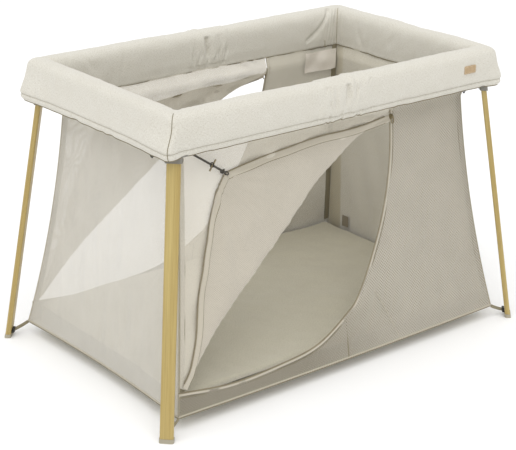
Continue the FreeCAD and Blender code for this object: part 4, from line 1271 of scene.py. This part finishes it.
# ---- floor sheet and mattress ------------------------------------------------------------------
PAN_X, PAN_Y = 0.372, 0.203                      # half size of the flat middle of the pan
PAN_Z, PAN_RISE, PAN_SLACK = 0.0032, 0.0278, 0.0008
PAN_SHARES = (1.0, 0.85, 0.7, 0.55, 0.4, 0.25, 0.1, 0.0, -0.25, -0.5, -0.75, -0.98)
MATTRESS_HALF, MATTRESS_HEIGHTS = (0.4475, 0.2868), (0.0052, 0.0285, 0.0815)   # underside, waist, top
MATTRESS_EDGE, MATTRESS_CORNER, MATTRESS_STEP = 0.006, 0.012, 0.009
SETTLE_FROM, SETTLE_OVER, SETTLE_DEPTH = 0.08, 0.17, 0.0115
WAIST_OUT = 0.002


def make_mattress(name, relief):
    """Soft pad: rounded top settling towards the front door, underside drawn in to the pan's flat middle."""
    half, (low, waist, high) = MATTRESS_HALF, MATTRESS_HEIGHTS
    edge, corner, step = MATTRESS_EDGE, MATTRESS_CORNER, MATTRESS_STEP
    nx, ny = int(2 * half[0] / step), int(2 * half[1] / step)
    x, y = np.meshgrid(np.linspace(-1, 1, nx), np.linspace(-1, 1, ny), indexing="ij")
    limit = 1 - corner / np.array(half)
    over_x = np.clip((np.abs(x) - limit[0]) * half[0], 0, None)
    over_y = np.clip((np.abs(y) - limit[1]) * half[1], 0, None)
    reach = np.hypot(over_x, over_y)
    pull = np.where(reach > corner, corner / np.maximum(reach, 1e-9), 1.0)
    px = np.sign(x) * (np.minimum(np.abs(x), limit[0]) * half[0] + over_x * pull)
    py = np.sign(y) * (np.minimum(np.abs(y), limit[1]) * half[1] + over_y * pull)
    inset = np.clip(np.minimum(np.maximum(over_x, over_y), corner) / corner, 0, 1)
    drop = edge * (1 - np.sqrt(np.clip(1 - inset ** 2, 0, 1)))
    towards_door = np.clip((-py - SETTLE_FROM) / SETTLE_OVER, 0, 1)
    settled = SETTLE_DEPTH * towards_door ** 2 * (3 - 2 * towards_door)
    top = np.stack([px, py, high - drop - settled + relief(px, py) * (1 - inset)], axis=-1).reshape(-1, 3)
    base = np.stack([px * PAN_X / half[0], py * PAN_Y / half[1], np.full_like(px, low)], axis=-1).reshape(-1,
        3)
    count = len(top)
    faces = [f[::-1] for f in grid_faces(nx, ny)] + [tuple(i + count for i in f) for f in grid_faces(nx, ny)]
    border = ([i * ny for i in range(nx)] + [(nx - 1) * ny + j for j in range(1, ny)] + [i * ny + ny - 1
        for i in range(nx - 2, -1, -1)] + [j for j in range(ny - 2, 0, -1)])
    side = [(top[i][0] * (1 + WAIST_OUT / half[0]), top[i][1] * (1 + WAIST_OUT / half[1]), waist)
        for i in border]
    for k in range(len(border)):
        a, b = border[k], border[(k + 1) % len(border)]
        m, w = 2 * count + k, 2 * count + (k + 1) % len(border)
        faces += [(a, b, w, m), (m, w, b + count, a + count)]
    points = np.vstack([top, base, np.array(side)])
    return new_piece(name, points, faces, MATTRESS_CLOTH, points[:, :2])


def make_bed():
    def relief(x, y):
        p = np.stack([x, y], axis=-1)
        return 0.0012 * waves(p, 0.16, 61) + 0.0005 * waves(p, 0.05, 62)
    mattress = make_mattress("mattress_cover", relief)
    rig.replaces(gathers(mattress), "mattress")
    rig.slot(mattress, "mattress_fabric")
    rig.padded(mattress, fill=0.9)

    # floor sheet: flat in the middle, rising to the lower edge of the walls
    rows, count = [], 260
    angles = circle(count)
    c, s = np.cos(angles), np.sin(angles)
    reach = 1 / np.maximum(np.abs(c), np.abs(s))
    bx, by = c * reach, s * reach
    for share in PAN_SHARES:
        k, inner = max(share, 0.0), 1 + min(share, 0.0)
        hx = (PAN_X + (corner_x(FLOOR_Z) - PAN_X) * k) * inner
        hy = (PAN_Y + (corner_y(FLOOR_Z) - PAN_Y) * k) * inner
        slack = PAN_SLACK * np.sin(9 * angles + 5 * k) * k * (1 - k) * 4
        inward = END_BOW * k * (1 - by ** 2) * (np.abs(bx) > 0.999)
        rows.append(np.stack([bx * hx - np.sign(bx) * inward, by * hy, PAN_Z + PAN_RISE * k + slack],
            axis=1))
    points = np.vstack(rows)
    sheet = new_piece("floor_sheet_cloth", points, grid_faces(len(rows), count, close_columns=True),
        BASE_CLOTH, points[:, :2])
    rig.replaces(gathers(sheet), "floor_sheet")
    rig.slot(sheet, "base_fabric")
    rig.sheet(sheet, flat=(0.98, 0.63), held="laid", rests_on=[])


# ---- straps, labels and small parts ------------------------------------------------------------
def squared(value, power):
    """A sine or cosine bent towards a square, sign kept."""
    return math.copysign(abs(value) ** power, value)


def band(name, start, end, width, thick, look, sag, twist):
    """A flat woven band standing on edge between two points, with rounded edges."""
    start, end = np.array(start), np.array(end)
    line = np.linspace(0, 1, 26)
    along = (end - start) / np.linalg.norm(end - start)
    side = np.cross(along, (0, 0, 1.0))
    side /= np.linalg.norm(side)
    up = np.cross(side, along)
    round_it = [(math.cos(a), math.sin(a)) for a in circle(16)]
    points, uv = [], []
    for t in line:
        here = start + (end - start) * t - np.array((0, 0, sag * 4 * t * (1 - t)))
        lean = twist * math.sin(math.pi * t)
        u = up * math.cos(lean) + side * math.sin(lean)
        s = side * math.cos(lean) - up * math.sin(lean)
        for a, b in round_it:
            wide, deep = squared(a, 0.25) * width / 2, squared(b, 0.8) * thick / 2
            points.append(here + u * wide + s * deep)
            uv.append((np.linalg.norm(end - start) * t, wide))
    faces = grid_faces(len(line), len(round_it), close_columns=True)
    last = len(points) - len(round_it)
    faces += [tuple(range(len(round_it)))[::-1], tuple(range(last, last + len(round_it)))]
    return new_piece(name, points, faces, look, uv)


def make_straps():
    for end_name, end in (("right", 1), ("left", -1)):
        pieces = []
        for name, side in SIDES:
            start = (end * 0.4715, side * 0.3032, 0.0315)
            finish = (end * 0.5055, side * 0.3128, 0.0162)
            pieces.append(band(f"{name}_{end_name}_corner_webbing", start, finish, 0.008, 0.0017, WEBBING,
                sag=0.0010, twist=0.12))
        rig.replaces(pieces[0], end_name + "_corner_straps")
        for piece in pieces:
            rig.ride(piece, end_name + "_end")
            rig.slot(piece, "webbing")


def patch(name, centre, half, thick, corner, look, side_axis, out_axis, bulge):
    """A rounded rectangular patch with rolled edges, standing on a surface."""
    side_axis, out_axis = np.array(side_axis, float), np.array(out_axis, float)
    up = np.array((0, 0, 1.0))
    rim = []
    for sx, sz, start in ((1, 1, 0), (-1, 1, 90), (-1, -1, 180), (1, -1, 270)):
        for angle in np.radians(np.linspace(start, start + 90, 7)):
            rim.append((sx * (half[0] - corner) + corner * math.cos(angle), sz * (half[1] - corner) + corner
                * math.sin(angle)))
    rim = np.array(rim)
    rings = [(1.0, -thick), (1.0, 0.2 * thick), (0.985, 0.75 * thick), (0.96, thick), (0.7, thick),
        (0.4, thick), (0.05, thick)]
    points, uv = [], []
    for share, out in rings:
        for a, b in rim * share:
            swell = bulge * (1 - (a / half[0]) ** 2) * (1 - (b / half[1]) ** 2)
            points.append(np.array(centre) + side_axis * a + up * b + out_axis * (out + swell))
            uv.append((a, b))
    faces = grid_faces(len(rings), len(rim), close_columns=True)
    faces.append(tuple(range(len(points) - len(rim), len(points))))
    return new_piece(name, points, faces, look, uv)


def stitches(name, centre, half, pitch, side_axis, out_axis, out, look):
    """A row of short stitches round a rectangle."""
    side_axis, out_axis = np.array(side_axis, float), np.array(out_axis, float)
    corners = [(half[0], half[1]), (-half[0], half[1]), (-half[0], -half[1]), (half[0], -half[1])]
    path = even_steps(corners + corners[:1], pitch)
    points, faces = [], []
    for first, second in zip(path[:-1], path[1:]):
        gap = (second - first) * 0.14
        a, b = first + gap, second - gap
        across = np.array((-(b - a)[1], (b - a)[0]))
        across = across / np.linalg.norm(across) * 0.00035
        base = len(points)
        for p, lift in ((a, 0.0), ((a + b) / 2, 0.00035), (b, 0.0)):
            for k in (-1, 0, 1):
                q = p + across * k
                points.append(np.array(centre) + side_axis * q[0] + np.array((0, 0, q[1])) + out_axis
                    * (out + lift + (0.0002 if k == 0 else 0)))
        faces += [tuple(base + i for i in f) for f in ((0, 1, 4, 3), (1, 2, 5, 4), (3, 4, 7, 6),
            (4, 5, 8, 7))]
    return new_piece(name, points, faces, look, [(p[0], p[2]) for p in points])


def make_labels():
    low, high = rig.box("rail_label")
    centre = ((low.x + high.x) / 2, -0.2803, (low.z + high.z) / 2)
    half = ((high.x - low.x) / 2, (high.z - low.z) / 2)
    label = patch("rail_label_leather", centre, half, 0.0012, 0.002, LABEL, (1, 0, 0), (0, -1, 0), 0.0004)
    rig.replaces(label, "rail_label")
    border = stitches("rail_label_stitches", centre, (half[0] - 0.0018, half[1] - 0.0018), 0.0022, (1, 0, 0),
        (0, -1, 0), 0.0012, STITCH)
    for piece in (label, border):
        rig.ride(piece, "front_right_half")
        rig.slot(piece, "label")

    low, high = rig.box("care_tag")
    rows, columns = 26, 48
    s, t = np.meshgrid(np.linspace(0, 1, columns), np.linspace(0, 1, rows))
    x = low.x + (high.x - low.x) * s
    z = low.z + (high.z - low.z) * t
    p = np.stack([x, z], axis=-1)
    y = (low.y + high.y) / 2 + 0.0012 * waves(p, 0.05, 71) + 0.003 * (1 - t) * np.sin(s * 5.2 + 0.6)
    points = np.stack([x, y, z], axis=-1).reshape(-1, 3)
    tag = new_piece("care_tag_cloth", points, grid_faces(rows, columns), CARE, p.reshape(-1, 2))
    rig.replaces(gathers(tag), "care_tag")
    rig.slot(tag, "care_tag")
    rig.sheet(tag, flat=(0.102, 0.051), held="hung", rests_on=["back_right_rail_pad"])


def make_inner_tag():
    """Small blank tag sewn low inside the right end wall."""
    surface = end_wall(1)
    rows, columns = 14, 10
    s, t = np.meshgrid(np.linspace(-1, 1, columns), np.linspace(0, 1, rows))
    y, z = 0.214 + 0.012 * s, 0.084 + 0.030 * t
    off = -0.0035 - 0.003 * (1 - t) * (1 + 0.4 * s)
    points = surface(y.ravel(), z.ravel(), off.ravel())
    tag = new_piece("inner_corner_tag", points, grid_faces(rows, columns), TAG_CLOTH,
        np.stack([y, z], axis=-1).reshape(-1, 2))
    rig.ride(tag, "right_end")
    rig.slot(tag, "webbing")


def make_hooks():
    """Dark elastic loops under the hem, by two corners."""
    places = (("front_right_hem_loop", (0.395, -0.240, 0.577), "right_end"),
        ("left_end_hem_loop", (-0.432, -0.165, 0.566), "left_end"))
    for name, centre, body in places:
        path = [(centre[0] + 0.005 * math.sin(a), centre[1] + 0.0015 * math.sin(2 * a), centre[2] - 0.007
            * math.cos(a)) for a in circle(36)]
        loop = tube(name, path, 0.0013, LOOP_LOOK, sides=10, closed=True)
        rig.ride(loop, body)
        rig.slot(loop, "cord")


def make_zip_slider(name, side):
    """Bridge, body and ring pull of the slider at the top of the zip."""
    surface = long_wall(side)
    at = (0.1800, 0.5475)
    rings = []
    for out, w, h in ((0.0, 0.0042, 0.0058), (0.0022, 0.0046, 0.0062), (0.0034, 0.0042, 0.0057),
            (0.004, 0.0030, 0.0044)):
        rings.append([surface(at[0] + w * squared(math.cos(a), 0.6), at[1] + h * squared(math.sin(a), 0.6),
            out) for a in circle(28)])
    points = np.array(rings).reshape(-1, 3)
    faces = grid_faces(4, 28, close_columns=True) + [tuple(range(84, 112))]
    body = new_piece(name + "_zip_slider_body", points, faces, SLIDER_METAL, points[:, [0, 2]])
    bridge_path = [surface(at[0], at[1] + 0.0045 * math.cos(a), 0.0035 + 0.0036 * math.sin(a))
        for a in np.linspace(0, math.pi, 20)]
    bridge = tube(name + "_zip_slider_bridge", bridge_path, 0.0008, SLIDER_METAL, sides=10)
    pull_path = [surface(at[0] + 0.0040 * math.sin(a), at[1] - 0.0065 + 0.0085 * math.cos(a), 0.0068)
        for a in circle(48)]
    pull = tube(name + "_zip_ring_pull", pull_path, 0.0010, SLIDER_METAL, sides=10, closed=True)
    for piece in (body, bridge):
        gathers(piece, name + "_slider")
    gathers(pull, name + "_pull")
    for piece in (body, bridge, pull):
        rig.slot(piece, "zip_metal")
    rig.replaces(body, name + "_zip_slider")
    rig.replaces(pull, name + "_zip_pull")


# ---- the scene ---------------------------------------------------------------------------------
make_camera()
for side_name, side_sign in SIDES:
    make_tie(side_name, side_sign)
dress_cad()
make_rail_cover()
for side_name, side_sign in SIDES:
    make_long_wall(side_name, side_sign)
    make_zip_slider(side_name, side_sign)
make_end_wall("right", 1)
make_end_wall("left", -1)
make_bed()
make_straps()
make_labels()
make_inner_tag()
make_hooks()
make_studio()

sizes = {"cad": [list(p) for p in CAD_BOX], "visual": [list(p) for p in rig.bounds()]}
with open("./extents.json", "w") as size_file:
    json.dump(sizes, size_file)
